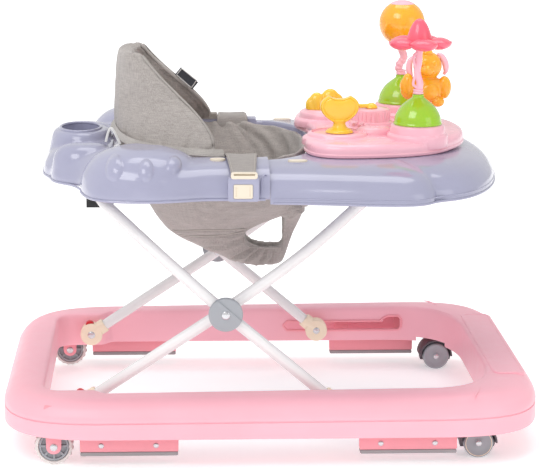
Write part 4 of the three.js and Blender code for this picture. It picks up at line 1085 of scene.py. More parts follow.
def strap_seam(edge, inset):
    """The stitching along one edge of the strap."""
    row = []
    for k, (_, y, z) in enumerate(STRAP):
        share = k / (len(STRAP) - 1)
        row.append(Vector((edge[0] + (edge[1] - edge[0]) * share + inset, y, z + 1.1)))
    return sweep(smooth_line(row, 6), 0.45, 6)


seams = merged(strap_seam(STRAP_REAR, 2.4), strap_seam(STRAP_FRONT, -2.4))
pair("strap_seams", seams, "tray", "thread", sharp=180)

# ------------------------------------------------------------------ toy panel

DOME = {"x": 192, "y": 99, "z": 416, "radius": 31.5, "height": 37}
FLOWER_Z, BALL_Z, BALL_R = 522, 526.8, 31.8
TULIP = Vector((90.5, -85, 402.5))
SHELL = Vector((85, 78, 410.5))
LEVER = Vector((141, 0, 422))
BEAR = Vector((216, 14, 428))
PANEL_FLOOR = 380.3


def panel_outline(inset):
    """The panel's edge seen from above, drawn in by the inset."""
    i = inset
    waist = (60 + i, -60, 42 + i, -70, 43 + i, -104)
    lobe_end = (44 + i, -150 + i, 66, -166 + i, 98, -165 + i)
    flank = (150, -164 + i, 205 - 0.5 * i, -150 + i, 228 - i, -112 + 0.5 * i)
    return whole(drawn((60 + i, 0), waist, lobe_end, flank, (246 - i, -84, 266 - i, -50, 266 - i, 0)), 130)


def tiered(x, y, rx, ry, rows):
    """A round mound built from (inset, height) rows."""
    return raw(skin([lifted(oval(x, y, rx - inset, ry - inset, 80), z) for inset, z in rows]))


def mound_rows(top):
    """Two tiers with rolled edges and a shallow cove between them."""
    mid = (398 + top) / 2 + 1
    return [(-1, 388), (-0.4, 395), (1, 397), (3.4, 398.2), (5.2, 399.2), (6.2, mid - 2), (7, mid + 0.6),
            (8.6, mid + 1.9), (10.5, mid + 2.2), (11.6, mid + 2.9), (12.2, top - 2), (13.2, top - 0.6),
            (15, top), (24, top)]


# Rows of (inset, height) up the side of the panel and of each raised part of it.
PANEL_EDGE = [(2, PANEL_FLOOR), (0.6, 381), (0, 382), (0, 384.4), (0.9, 385.2), (1.2, 386), (0.8, 388),
              (1.2, 392), (3.2, 395.6), (6.5, 397.4), (14, 398.2), (24, 398.4)]
DOME_SEAT = [(0, 388), (0, 401), (0.8, 403), (2.6, 404), (3.6, 405), (4, 412), (5.2, 414.6), (7.6, 415.7),
             (15, 415.7)]
BEAR_SEAT = [(0, 388), (1, 400), (4, 404), (10, 407), (14, 408), (18, 408)]
LEVER_SEAT = [(0, 388), (0, 402), (1.2, 404.4), (4.4, 405.6), (5, 419.4), (5.8, 421.2), (7.6, 422), (16, 422)]
BUTTON = [(0, 388), (0.8, 401), (3.2, 405), (8, 407.2), (15, 408)]


def panel():
    """The panel's body with a mound or a platform under each toy."""
    base = raw(skin([lifted(panel_outline(inset), z) for inset, z in PANEL_EDGE]))
    tops = [tiered(88, spot.y, 46, 44, mound_rows(spot.z - 0.3)) for spot in (TULIP, SHELL)]
    tops += [tiered(DOME["x"], side * DOME["y"], 40, 40, DOME_SEAT) for side in (-1, 1)]
    tops += [tiered(BEAR.x, BEAR.y, 24, 24, BEAR_SEAT), tiered(LEVER.x, 0, 30, 30, LEVER_SEAT)]
    tops += [tiered(138, side * 66, 25, 21, BUTTON) for side in (-1, 1)]
    body = boolean(base, tops, "UNION")
    return rounded_edges(body, 1.2, 2, 0.9)


def ribs_round(x, y, z0, z1, radius, count):
    """Upright ribs round a platform's side."""
    bars = []
    for k in range(count):
        turn = 2 * pi * k / count
        foot = Vector((x + radius * cos(turn), y + radius * sin(turn), 0))
        bars.append(sweep([foot + Vector((0, 0, z)) for z in (z0, z0 + 1.5, z1 - 1.5, z1)],
                          lambda share: 0.35 + 0.75 * sin(pi * share), 8))
    return merged(*bars)


piece("panel", panel(), "tray", "light_pink", ["toy_panel"], sharp=40)
piece("panel_ribs", ribs_round(LEVER.x, LEVER.y, 406.5, 419.5, 25.2, 26), "tray", "light_pink")
steps = [sweep([(x, -58 - 3 * k, 408 - 1.2 * k), (x + 6, -44 - 3 * k, 409 - 1.2 * k)], 2.6, 10)
         for k, x in enumerate((112, 119, 126))]
piece("panel_reliefs", merged(*steps, *[mirror(bar) for bar in steps]), "tray", "light_pink")

# ------------------------------------------------------------------ toys


def ball(centre, rx, ry, rz, rows=18, around=28):
    """A closed ellipsoid."""
    rings = []
    for i in range(rows + 1):
        up = pi * (i / rows - 0.5)
        flat, rise = max(cos(up), 0.01), rz * sin(up)
        turns = [2 * pi * k / around for k in range(around)]
        rings.append([Vector(centre) + Vector((rx * flat * cos(t), ry * flat * sin(t), rise)) for t in turns])
    return skin(rings)


def crowned_plate(half, foot, thickness, rows):
    """A plate standing in the X-Z plane over a foot. Its half outline is mirrored and its face crowned."""
    outline = even([*half, *[(-x, h) for x, h in reversed(half)]], 96, closed=True)
    middle = sum(outline, Vector((0, 0))) / len(outline)
    levels = [(share, -depth) for share, depth in rows] + list(reversed(rows))
    rings = []
    for share, depth in levels:
        rings.append([Vector((foot.x + middle.x + (p.x - middle.x) * share, foot.y + depth * thickness,
                              foot.z + middle.y + (p.y - middle.y) * share)) for p in outline])
    return skin(rings)


def tulip():
    """A heart-shaped plate with a groove inside its edge, on a turned foot."""
    half = drawn((0, 11), (13, 14, 25.5, 24, 25.5, 35), (25.5, 41, 21, 45, 14, 48.5),
                 (10.5, 45.4, 5, 44.6, 0, 44.6))
    crown = [(0.05, 0.98), (0.4, 0.97), (0.7, 0.92), (0.8, 0.84), (0.84, 0.74), (0.88, 0.86), (0.94, 0.84),
             (0.985, 0.66), (1.0, 0.36)]
    plate = crowned_plate(half, TULIP, 7, crown)
    foot = smooth_line([(0.1, 0), (17, 0), (17.4, 2), (15.6, 4), (10, 7), (8, 12), (8.6, 17), (0.1, 18)], 4)
    return merged(plate, lathe([tuple(p) for p in foot], TULIP), lathe([(4, -14), (4, 0.2)], TULIP))


def scallop(centre, rx, ry, rz, ribs):
    """A rounded lobe whose face is ribbed from its foot to its top."""
    verts, faces = ball((0, 0, 0), rx, ry, rz, 30, 96)
    ridges = [abs(cos(ribs * atan2(p.x, p.z + rz * 0.7))) for p in verts]
    return [Vector(centre) + p * (0.93 + 0.1 * ridge) for p, ridge in zip(verts, ridges)], faces


def shell():
    """Two ribbed lobes on a round foot, cut flat below."""
    solids = [raw(scallop(SHELL + Vector((-13, -7, 2)), 15.5, 9.5, 20.5, 5)),
              raw(scallop(SHELL + Vector((7, 8, 2)), 19.5, 10, 23.5, 5))]
    solids.append(raw(lathe([(0.1, 0), (18, 0), (18, 4), (15, 6), (0.1, 6)], SHELL)))
    body = blob(solids, 0.8, 1)
    below = raw(prism([(0, 300), (300, 300), (300, SHELL.z), (0, SHELL.z)], -200, 200))
    body = boolean(body, [below])
    return boolean(body, [raw(lathe([(4, -14), (4, 2)], SHELL))], "UNION")


def pointer():
    """A hub on its shaft with an arm, and the arm's soft tip as a shape of its own."""
    hub = lathe([(3, -14), (3, 0.3), (8, 0.3), (8.4, 1.4), (7.6, 3), (5, 5.6), (3, 6.8), (0.1, 7)], LEVER)
    turn = radians(200)
    ahead = Vector((cos(turn), sin(turn), 0))
    arm = [LEVER + ahead * d + Vector((0, 0, 3.4 + 0.02 * d)) for d in (1, 8, 14, 20)]
    tip = [LEVER + ahead * d + Vector((0, 0, 3.8)) for d in (19.5, 22, 25, 27.4)]
    tip = sweep(tip, lambda share: 3.5 * (1 - share**3 * 0.7), 16, squash=0.8)
    return merged(hub, sweep(arm, 3.1, 16, squash=0.75)), tip


piece("tulip_toy", tulip(), "tulip", "yellow", ["tulip_knob"], sharp=45)
piece("shell_toy", shell(), "shell", "yellow", ["shell_knob"], sharp=50)
arm, tip = pointer()
piece("pointer_arm", arm, "pointer", "yellow", ["pointer_lever"], sharp=45)
piece("pointer_tip", tip, "pointer", "coral", sharp=60)

STEM_FOOT = DOME["z"] + DOME["height"]


def dome():
    """A bell-shaped dome with a rolled foot and a socket for the stem."""
    curve = smooth_line([(31.2, 2.8), (29.0, 12.0), (22.0, 23.4), (12.8, 31.2), (8.2, 34.4)], 5)
    rows = [(0.1, 0), (31.5, 0), (32, 1.2), (31.6, 2.3), *curve]
    rows += [(7.4, 35.4), (7.2, 38.4), (6.4, 39), (4.35, 39), (4.35, 25), (0.1, 25)]
    return lathe(rows, (DOME["x"], -DOME["y"], DOME["z"]), segments=64)


pair("dome_cover", dome(), "tray", "green", ["dome"], sharp=45)


def stem(top, sway, collar, radius, knob=0.0):
    """A wavy stem that rises from a turned collar. The knob is how far its foot swells in rings."""
    rise = top - STEM_FOOT
    line = []
    for i in range(61):
        share = i / 60
        wave = min(1, share * 1.35) * pi
        bend = sin(wave * 2) * sin(wave)
        line.append(Vector((DOME["x"] + sway * bend, -DOME["y"], STEM_FOOT + 0.3 + share * rise)))
    rod = sweep(line, lambda share: radius + knob * cos(share * 62) * max(0, 1 - share * 1.5), 20)
    rings = [(0.8, 2.2), (0, 3), (0, 4.4), (1, 5.2), (1, 6), (0.2, 6.8), (0.2, 8), (1.2, 8.8)]
    rows = [(0.1, -11), (4, -11), (4, 1.9), *[(collar - inset, z) for inset, z in rings], (4, 9), (0.1, 9)]
    return merged(rod, lathe(rows, (DOME["x"], -DOME["y"], STEM_FOOT), segments=36))


def strand(top, sway):
    """A thinner strand that waves beside the near stem."""
    line, foot = [], STEM_FOOT + 8
    for share in [i / 40 for i in range(41)]:
        offset = 5.2 + sway * sin(share * 3.2 * pi)
        close = min(1.0, share * 8, (1 - share) * 8)
        line.append(Vector((DOME["x"] - offset * close, -DOME["y"] - 1.5, foot + share * (top - foot))))
    return sweep(line, 1.9, 12)


piece("stem_near", stem(FLOWER_Z - 7, 2.5, 6.9, 4.5), "tray", "light_pink", ["stem_R"], sharp=60)
piece("stem_strand", strand(FLOWER_Z - 9, 1.7), "tray", "light_pink", sharp=60)
far_stem = mirror(stem(BALL_Z - BALL_R + 10, -4.5, 7, 5.2, 0.9))
piece("stem_far", far_stem, "tray", "light_pink", ["stem_L"], sharp=60)

PETALS, FIRST_PETAL = 5, -84
PETAL = {"reach": 26, "length": 16.5, "width": 18.8}


def petal(turn):
    """A plump lens-shaped petal with a fine rolled rim."""
    rows = [(0.02, -8.2), (0.35, -7.6), (0.65, -6), (0.86, -3.6), (0.97, -1.2), (1.0, 0.6), (1.005, 1.5),
            (0.985, 2.5), (0.95, 2.7), (0.925, 2.1), (0.86, 3.2), (0.65, 5.4), (0.35, 7.2), (0.02, 7.8)]
    ahead, side = Vector((cos(turn), sin(turn), 0)), Vector((-sin(turn), cos(turn), 0))
    centre = Vector((DOME["x"], -DOME["y"], FLOWER_Z)) + ahead * PETAL["reach"]
    rings = []
    for share, height in rows:
        ring = []
        for t in [2 * pi * k / 56 for k in range(56)]:
            out, over = PETAL["length"] * cos(t), PETAL["width"] * sin(t)
            ring.append(centre + share * (ahead * out + side * over) + Vector((0, 0, height)))
        rings.append(ring)
    return skin(rings)


def flower_bell():
    """The tall rounded crown over the petals."""
    rows = [(0.1, -6), (12, -5.6), (15.4, -3), (16.8, 3), (15.8, 8), (14, 14), (11.4, 20.6), (8, 26.6),
            (4.2, 30.4), (0.1, 31.8)]
    return lathe(smooth_line(rows, 4), (DOME["x"], -DOME["y"], FLOWER_Z), segments=48)


def ball_cap():
    """The cap over the top of the ball, standing a little proud of it."""
    radius, turns = BALL_R + 0.35, [radians(d) for d in (31, 24, 16, 8, 0)]
    rows = [(0.1, BALL_R - 7), (0.54 * BALL_R, BALL_R - 7)]
    rows += [(radius * sin(t), radius * cos(t)) for t in turns]
    return lathe(rows, BALL_CENTRE, segments=48)


flower = [petal(radians(FIRST_PETAL + 360 * k / PETALS)) for k in range(PETALS)]
piece("flower_petals", merged(*flower), "flower", "coral", ["flower_spinner"], sharp=50)
piece("flower_bell", flower_bell(), "flower", "coral", sharp=60)

BALL_CENTRE = Vector((DOME["x"], DOME["y"], BALL_Z))
sphere = ball(BALL_CENTRE, BALL_R, BALL_R, BALL_R, 32, 56)
piece("ball_toy", sphere, "ball", "amber", ["ball_spinner"], sharp=180)
piece("ball_cap", ball_cap(), "ball", "light_pink", sharp=40)


def bear():
    """A plain cub sitting upright: head, snout, belly, arm and feet in one moulding."""
    parts = {"body": (3, 0, 18, 25, 16, 18.5), "head": (2, 0, 50, 19.5, 17, 19.5),
             "snout": (0, -14, 45, 9, 7, 7), "nose": (0, -17, 48.5, 3.4, 4.4, 2.6),
             "belly": (4, -12, 16, 13, 8, 12.5), "arm": (25, -4, 21, 9.5, 10, 15.5),
             "foot": (-9, -10, 2, 9, 9, 7), "other foot": (16, -10, 2, 9, 9, 7),
             "eye": (-6.5, -15, 55, 2.8, 2.2, 3.4), "other eye": (10, -15, 55, 2.8, 2.2, 3.4),
             "tuft": (1, -6, 69, 7, 6, 4)}
    body = blob([raw(ball(BEAR + Vector(part[:3]), *part[3:])) for part in parts.values()], 0.9, 3)
    return boolean(body, [raw(lathe([(3, -36), (3, 12)], BEAR))], "UNION")


def ear(*points):
    """A soft ear that swells in its middle and hangs from the head."""
    line = smooth_line([BEAR + Vector(p) for p in points], 6)
    return sweep(line, lambda share: 1.5 + 2.9 * sin(pi * min(0.92, max(0.08, share))), 16)


piece("bear_body", bear(), "bear", "amber", ["bear_spinner"], sharp=180)
paw = raw(scallop(BEAR + Vector((-25, -4, 22)), 10.5, 10, 17.5, 5))
piece("bear_paw", paw, "bear", "amber", sharp=180)
ears = merged(ear((-17, 2, 62), (-21.5, 1, 57), (-23, 1, 46), (-21, 1, 36), (-18, 2, 32)),
              ear((15, 2, 66), (21, 1, 63), (26, 1, 54), (27.5, 1, 44), (25, 2, 38)))
piece("bear_ears", ears, "bear", "light_pink", sharp=180)

# ------------------------------------------------------------------ seat

# Rows of (height, rear, half width, front) up the padded back.
BACK = [(386, -203, 160, -70), (399, -206, 146, -73), (412, -206.5, 133, -80), (440, -204.5, 107, -104),
        (468, -201, 90, -134), (488, -200, 79, -153), (500, -199, 73, -163), (507, -196, 69, -168)]
BACK_PAD = 22


def back_outline(rear, half, front, inset=0.0):
    """A horseshoe open to the front: round the outside, then back along the inside."""
    def wall(grow):
        x, y = rear + grow, half - grow
        return drawn((x, 0), (x, -0.8 * y, x + 0.35 * (front - x), -y, front - inset, -y), steps=40)
    outside = even(wall(inset), 46)
    inside = even(wall(BACK_PAD - inset), 46)
    right = outside + list(reversed(inside))
    return right + [Vector((p.x, -p.y)) for p in reversed(right)]


def seat_back():
    """Two closed halves of the horseshoe, joined into one padded body where they overlap at the middle."""
    half = []
    for z, rear, side, front in smooth_line(BACK, 5):
        ring = lifted(back_outline(rear, side, front, 1.5), z)[:92]
        ring[0].y = ring[-1].y = 4.0
        half.append(ring)
    shape = skin(half)
    return blob([raw(shape), raw(mirror(shape))], 5.0, 2)


def puffed(obj, pressure, cap, pins, frames=20):
    """Blows the cover out against its filling with a short cloth run, and limits how far a point moves."""
    before = [v.co.copy() for v in obj.data.vertices]
    group = obj.vertex_groups.new(name="held")
    for v in obj.data.vertices:
        if pins(v.co / MM):
            group.add([v.index], 1.0, "REPLACE")
    cloth = obj.modifiers.new("cloth", "CLOTH")
    cloth.settings.use_pressure = True
    cloth.settings.uniform_pressure_force = pressure
    cloth.settings.quality = 5
    cloth.settings.effector_weights.gravity = 0
    cloth.settings.vertex_group_mass = "held"
    cloth.point_cache.frame_end = frames
    for number in range(1, frames + 1):
        bpy.context.scene.frame_set(number)
    settled(obj)
    ends = []
    for v, start in zip(obj.data.vertices, before):
        step = v.co - start
        reach = min(step.length, cap * MM)
        ends.extend(start + step.normalized() * reach)
    placed(obj, ends)
    bpy.context.scene.frame_set(1)
    return obj


def placed(obj, ends):
    """Puts every vertex in its new place, from one long list of coordinates."""
    obj.data.vertices.foreach_set("co", ends)
    obj.data.update()


def shaped(obj, move):
    """Moves every vertex by a function of its place and normal, both in millimetres."""
    starts = [(v.co.copy(), v.normal.copy()) for v in obj.data.vertices]
    ends = []
    for place, normal in starts:
        ends.extend(place + normal * move(place / MM, normal) * MM)
    placed(obj, ends)


def band(value, width):
    """1 at nought, falling smoothly to nought at the width."""
    share = min(1.0, abs(value) / width)
    return (1 - share * share) ** 2


def back_edge_x(z):
    """How far forward the padded back reaches at a height."""
    for (z0, _, _, front0), (z1, _, _, front1) in zip(BACK, BACK[1:]):
        if z <= z1:
            return front0 + (front1 - front0) * max(0.0, (z - z0) / (z1 - z0))
    return BACK[-1][3]


def back_creases(p, normal):
    """Gathers above the hem, a seam inside the front edge and slack in the cover."""
    step = 0.0
    run = p.x * 1.1 + (abs(p.y) - 60) * 0.6
    low = max(0.0, 1 - (p.z - 387) / 34)
    step -= 3.6 * low * max(0.0, sin(run / 6.5 + 2.2 * noise.noise(p * 0.02))) ** 3
    edge = back_edge_x(p.z) - p.x
    if abs(normal.y) > 0.4 or normal.z > 0.3:
        step -= 1.6 * band(edge - 15, 3.2)
    step += 1.5 * noise.noise(p * 0.021) + 0.7 * noise.noise(p * 0.055)
    return step


back = seat_back()
puffed(back, 4.0, 7.0, lambda p: p.z < 388)
settled(back, ("SUBSURF", {"levels": 1, "render_levels": 1}))
shaped(back, back_creases)
piece("seat_back_pad", back, "tray", "seat_fabric", ["seat_back"], sharp=180)
back_near, _ = surface(back)


def tape(line, width, thickness, normals):
    """A flat tape along a line, lying across the given normals."""
    rings = []
    for i, (point, normal) in enumerate(zip(line, normals)):
        ahead = (line[min(i + 1, len(line) - 1)] - line[max(i - 1, 0)]).normalized()
        side = ahead.cross(normal).normalized()
        across, out = side * width / 2, normal * thickness / 2
        rings.append([point + across * cos(t) + out * sin(t) for t in [pi * k / 6 for k in range(12)]])
    return skin(rings)


def edge_line(depth):
    """Along the front edge of the back's right wing, from the tray up to the top corner."""
    line, normals = [], []
    for z, _, half, front in smooth_line(BACK, 4):
        place, normal = back_near((front + 2, -half + depth, z))
        line.append(place)
        normals.append(normal)
    return line, normals


for name, depth in (("outer", 1.0), ("inner", BACK_PAD - 1.0)):
    line, normals = edge_line(depth)
    line = [p + n * 0.6 for p, n in zip(eased(line, 4), normals)]
    pair(f"back_binding_{name}", tape(line, 5.0, 2.6, eased(normals, 3)), "tray", "binding", sharp=180)


def hem():
    """The flat band below the gathers, lying out over the tray's deck."""
    top = back_outline(-203, 160, -66)[:46]
    rings = []
    for i, p in enumerate(top):
        share = i / (len(top) - 1)
        out = Vector((p.x + 150, p.y, 0)).normalized()
        drop = 4.5 * max(0.0, share - 0.25)
        base = Vector((p.x, p.y, 403.5 - 15.5 * min(1.0, share / 0.92)**0.8))
        ripple = 0.9 * sin(31 * share)
        a = base + out * 2 + Vector((0, 0, 4.5 - drop * 0.2))
        b = base + out * (7 + ripple) + Vector((0, 0, -4.5 + 0.4 * ripple))
        thick = (out + Vector((0, 0, 1))) * 1.1
        outside = [a + thick, a.lerp(b, 0.35) + thick * 1.1, a.lerp(b, 0.7) + thick * 1.1, b + thick]
        rings.append([*outside, b - thick, a.lerp(b, 0.6) - thick, a - thick])
    return skin(rings)


for strip in pair("back_hem", hem(), "tray", "hem", sharp=50):
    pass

# ------------------------------------------------------------------ pouch

# Rows of (height, rear, front, half width) up the pouch.
POUCH = [(207, -20, 15, 16), (210, -32, 21, 22), (216, -52, 24, 27), (230, -84, 29, 33),
         (245, -116, 34, 40), (252, -128, 37, 44), (262, -140, 42, 52), (278, -151, 48, 70),
         (291, -158, 53, 84), (318, -172, 53, 112), (345, -184, 50, 136), (366, -195, 51, 154),
         (374, -199, 52, 162), (379, -202, 52.5, 165)]
POUCH_WALL = 6.5
SQUARENESS = 0.8


def pouch_ring(rear, front, half):
    """One level of the pouch: an oval with slightly squared corners."""
    middle, reach = (rear + front) / 2, (front - rear) / 2
    ring = []
    for k in range(96):
        c, s = [copysign(abs(v)**SQUARENESS, v) for v in (cos(pi * k / 48), sin(pi * k / 48))]
        ring.append(Vector((middle + reach * c, half * s)))
    return ring


def crotch_taper(p):
    """The cut narrows to a strip between the leg holes."""
    ahead = min(1.0, max(0.0, (p.x + 62) / 52))
    low = min(1.0, max(0.0, (305 - p.z) / 50))
    return 1 - 0.5 * ahead * ahead * (3 - 2 * ahead) * low * low * (3 - 2 * low)


def pouch():
    """A bag hung from its rim, with its wall hollowed out and a leg hole cut through each side."""
    rows, w = smooth_line(POUCH, 4), POUCH_WALL
    outer = [lifted(pouch_ring(rear, front, half), z) for z, rear, front, half in rows]
    inner = [lifted(pouch_ring(rear + w, front - w, half - w), z + (w if z < 300 else 0))
             for z, rear, front, half in rows if front - rear > 2.4 * w and z > 212]
    inner.append([p + Vector((0, 0, 30)) for p in inner[-1]])
    for ring in outer + inner:
        for p in ring:
            p.y *= crotch_taper(p)
    bag = boolean(raw(skin(outer)), [raw(skin(inner))])
    hole = drawn((-31, 255), (-29, 247, -26, 240, -16, 237.5), (-4, 235, 8, 234.4, 14, 234.2),
                 (19, 234.4, 20.8, 238, 20.8, 243), (21.4, 281), (20.6, 284.5, 17.5, 283.5, 14, 281),
                 (-14, 266), (-28, 259, -32, 258, -31, 255))
    hole = even(hole, 60, closed=True)
    bag = boolean(bag, [raw(prism([(p.x, p.y) for p in hole], -300, 300))])
    return blob([bag], 3.2, 3)


def line_distance(x, z, line):
    """How far a point in the X-Z plane is from a line."""
    best = 1e9
    for (x0, z0), (x1, z1) in zip(line, line[1:]):
        dx, dz = x1 - x0, z1 - z0
        share = max(0.0, min(1.0, ((x - x0) * dx + (z - z0) * dz) / (dx * dx + dz * dz)))
        best = min(best, hypot(x - x0 - share * dx, z - z0 - share * dz))
    return best


POUCH_SEAMS = [[(-128, 258), (-90, 264), (-60, 265), (-31, 262.5)],
               [(-119, 252), (-80, 254.5), (-50, 257), (-31, 259)]]
HOLE_EDGE = [(-31, 255), (-26, 241), (-16, 237.5), (14, 234.2), (20.8, 243), (21, 284), (-14, 266),
             (-31, 255)]
# Each crease or fold is a line in the X-Z plane with its depth and its width.
CREASES = [([(-20, 232), (-34, 226), (-46, 219)], 3.0, 3.2), ([(-8, 230), (-22, 221), (-30, 213)], 2.4, 3.0),
           ([(0, 234), (-4, 220), (-10, 211)], 2.8, 3.4), ([(8, 232), (9, 220), (5, 212)], 2.0, 3.0),
           ([(-36, 246), (-60, 240), (-78, 236)], 2.0, 4.0), ([(-32, 252), (-48, 246), (-70, 246)], 1.6, 3.4),
           ([(24, 280), (34, 284), (46, 294)], 3.0, 3.4), ([(22, 288), (36, 292), (50, 288)], 3.2, 3.0),
           ([(28, 296), (40, 300), (52, 302)], 3.0, 3.2), ([(27, 276), (26, 255), (20, 232)], 1.6, 2.4)]
WALL_FOLDS = [([(-26, 378), (4, 364), (20, 345), (26, 318)], 2.6, 8.0),
              ([(-18, 362), (-4, 350), (2, 330)], 1.6, 6.0), ([(28, 372), (38, 356), (44, 330)], 1.8, 6.0),
              ([(-66, 380), (-70, 350), (-66, 315)], 1.6, 7.5),
              ([(-48, 380), (-30, 352), (-22, 318)], 1.6, 8.0),
              ([(-104, 376), (-96, 340), (-84, 306)], 1.6, 9.0)]


def pouch_folds(p, _):
    """Seams, creases drawn in round the leg holes, and folds hanging from the rim."""
    step = 0.0
    if p.z < 320:
        for seam in POUCH_SEAMS:
            step -= 2.6 * band(line_distance(p.x, p.z, seam), 3.0)
        for line, depth, width in CREASES:
            away = line_distance(p.x, p.z, line)
            step -= 1.3 * depth * band(away, width)
            step += 0.5 * depth * band(away - width * 1.7, width)
        step *= min(1.0, line_distance(p.x, p.z, HOLE_EDGE) / 9)
    if p.z > 280 and abs(p.y) > 20:
        for line, height, width in WALL_FOLDS:
            away = line_distance(p.x, p.z, line)
            step += height * band(away, width) - 0.6 * height * band(away - width * 1.3, width)
    hang = 1.4 * noise.noise(Vector((p.x * 0.035, p.y * 0.035, p.z * 0.012)))
    return step + hang + 0.5 * noise.noise(p * 0.07)


bag = pouch()
puffed(bag, 1.2, 3.0, lambda p: p.z > 375, frames=10)
shaped(bag, pouch_folds)
piece("seat_pouch_cover", bag, "tray", "seat_fabric", ["seat_pouch"], sharp=180)
_, bag_hit = surface(bag)


def on_pouch(points, height):
    """A line along the right side of the pouch, raised from it by a height."""
    line = []
    for x, z in smooth_line(points, 6):
        place, normal = bag_hit((x, -300, z), (0, 1, 0))
        if place:
            line.append(place + normal * height)
    return line


for number, seam in enumerate(POUCH_SEAMS):
    pair(f"pouch_seam_{number}", sweep(eased(on_pouch(seam, 0.25), 2), 0.8, 8), "tray", "thread", sharp=180)
hole_tape = on_pouch([(-33, 249), (-29, 238), (-20, 234.2), (-4, 232), (12, 231.6), (19, 232.4)], 0.3)
pair("leg_hole_binding", sweep(eased(hole_tape, 2), 1.3, 10), "tray", "binding", sharp=180)

# ------------------------------------------------------------------ label and tie

# The label's corners in the X-Z plane, from the rear end of its sewn edge.
LABEL = [Vector((x, 0, z)) for x, z in ((-124.4, 456.3), (-100.6, 435.2), (-92.2, 447.1), (-116.1, 466.4))]
LABEL_NEAR, LABEL_FAR = Vector((0, 87.4, 0)), Vector((0, 88.6, 0))


def label_plate():
    """A small woven plate, bowed a little upwards along its length."""
    rows = []
    for share in [k / 12 for k in range(13)]:
        low = LABEL[0].lerp(LABEL[1], share) + Vector((0, 0, 0.6 * sin(pi * share)))
        high = low + LABEL[3] - LABEL[0]
        rows.append([low + LABEL_FAR, high + LABEL_FAR, high + LABEL_NEAR, low + LABEL_NEAR])
    return skin(rows)


def label_border():
    """A raised line round the near face, inside its edge."""
    middle = sum(LABEL, Vector()) / 4
    ring = [corner.lerp(middle, 0.14) + LABEL_NEAR + Vector((0, -0.5, 0.4)) for corner in LABEL]
    line = [a.lerp(b, k / 8) for a, b in zip(ring, ring[1:] + ring[:1]) for k in range(8)]
    return sweep(line, 0.75, 6, closed=True)


def seat_tie():
    """The loop of flat cord that ties the seat's rear corner down to the tray."""
    line = smooth_line([(-215, -124, 396), (-212, -121, 408), (-208.6, -119.5, 413.4), (-205, -119.5, 410.5),
                        (-200.5, -120, 401), (-196.5, -121, 393)], 8)
    return tape(line, 3.4, 1.6, [Vector((0.35, -0.9, 0.25)).normalized()] * len(line))


tag = piece("label_plain", label_plate(), "tray", "label", sharp=50)
piece("label_border", label_border(), "tray", "label_edge", sharp=180)
piece("seat_tie", seat_tie(), "tray", "label_edge", sharp=180)

# ------------------------------------------------------------------ floor, light and camera


FLOOR = 9000


def stage():
    """A pale floor that glows a little more the further it is from the walker."""
    corners = [(x * FLOOR, y * FLOOR, 0) for x, y in ((-1, -1), (1, -1), (1, 1), (-1, 1))]
    floor = raw((corners, [(0, 1, 2, 3)]), "floor")
    pale = (0.93, 0.93, 0.935)
    look = Look("floor", pale, 0.7, Specular_IOR_Level=0.2)
    share = look.ramp(look.noise(0.6), 0.3, 0.7, 0.0, 1.0)
    look.link(look.mix(share, tint(pale, 0.99), tint(pale, 1.01)), "Base Color")
    reach = look.node("ShaderNodeVectorMath", {0: look.place}, operation="LENGTH").outputs["Value"]
    look.set(Emission_Color=(1, 1, 1, 1))
    look.link(look.ramp(reach, 0.35, 2.2, 0.36, 0.5), "Emission Strength")
    floor.data.materials.append(look.material)


def area_light(name, place, aim, width, height, power):
    data = bpy.data.lights.new(name, "AREA")
    data.shape = "RECTANGLE"
    data.size, data.size_y, data.energy = width, height, power
    light = bpy.data.objects.new(name, data)
    light.location = place
    light.rotation_mode = "QUATERNION"
    light.rotation_quaternion = (Vector(aim) - Vector(place)).to_track_quat("-Z", "Y")
    bpy.context.scene.collection.objects.link(light)


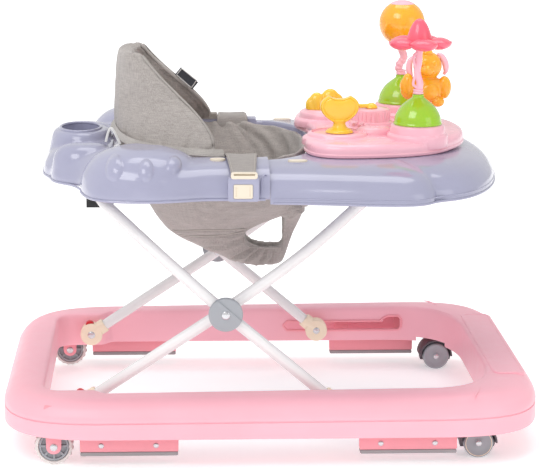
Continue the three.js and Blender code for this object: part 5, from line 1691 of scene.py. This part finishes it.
def lights():
    """A pale sky that is a little dimmer in front of the walker, and three soft lamps."""
    world = bpy.data.worlds.new("studio")
    world.use_nodes = True
    back = world.node_tree.nodes["Background"]
    back.inputs["Color"].default_value = (1, 1, 1, 1)
    tree = world.node_tree
    parts = tree.nodes.new("ShaderNodeSeparateXYZ")
    tree.links.new(tree.nodes.new("ShaderNodeTexCoord").outputs["Generated"], parts.inputs[0])
    dim = tree.nodes.new("ShaderNodeMapRange")
    for name, value in (("From Min", -1), ("From Max", 1), ("To Min", 0.92), ("To Max", 0.62)):
        dim.inputs[name].default_value = value
    tree.links.new(parts.outputs["X"], dim.inputs["Value"])
    tree.links.new(dim.outputs["Result"], back.inputs["Strength"])
    bpy.context.scene.world = world
    area_light("key", (-1.2, -1.6, 2.4), (0, 0, 0.25), 1.6, 1.2, 22)
    area_light("fill", (2.2, -1.8, 1.3), (0, 0, 0.25), 1.4, 1.4, 7)
    area_light("top", (0.2, 0.5, 2.6), (0, 0, 0.2), 1.8, 1.2, 14)
    bpy.context.scene.view_settings.view_transform = "Standard"


def camera():
    """A long lens on the walker's right, a little above the tray. The angles are in radians."""
    yaw, pitch, roll = -0.05206, 0.20723, 0.006784
    sensor, lens, shift = 36.0, 137.32, 0.0016667
    ahead = Vector((-sin(yaw), cos(yaw), 0))
    right = Vector((cos(yaw), sin(yaw), 0))
    above = Vector((0, 0, 1))
    forward = cos(pitch) * ahead - sin(pitch) * above
    up = sin(pitch) * ahead + cos(pitch) * above
    across = cos(roll) * right + sin(roll) * up
    up = cos(roll) * up - sin(roll) * right
    data = bpy.data.cameras.new("camera")
    data.sensor_width, data.lens, data.shift_x = sensor, lens, shift
    data.clip_start, data.clip_end = 0.1, 30
    made = bpy.data.objects.new("camera", data)
    turn = Matrix((across, up, -forward)).transposed()
    made.matrix_world = Matrix.Translation((-0.14033, -2.7573, 0.8279)) @ turn.to_4x4()
    bpy.context.scene.collection.objects.link(made)
    bpy.context.scene.camera = made


def dress_cad():
    """Gives the CAD pieces that are still shown the same black plastic as the rest."""
    for name in ("pivot_bracket", "guide_plate"):
        for side in SIDES:
            mesh = frame["nodes"][f"{name}_{side}"].data
            mesh.materials.clear()
            mesh.materials.append(LOOKS["black"].material)


dress_cad()
stage()
lights()
camera()
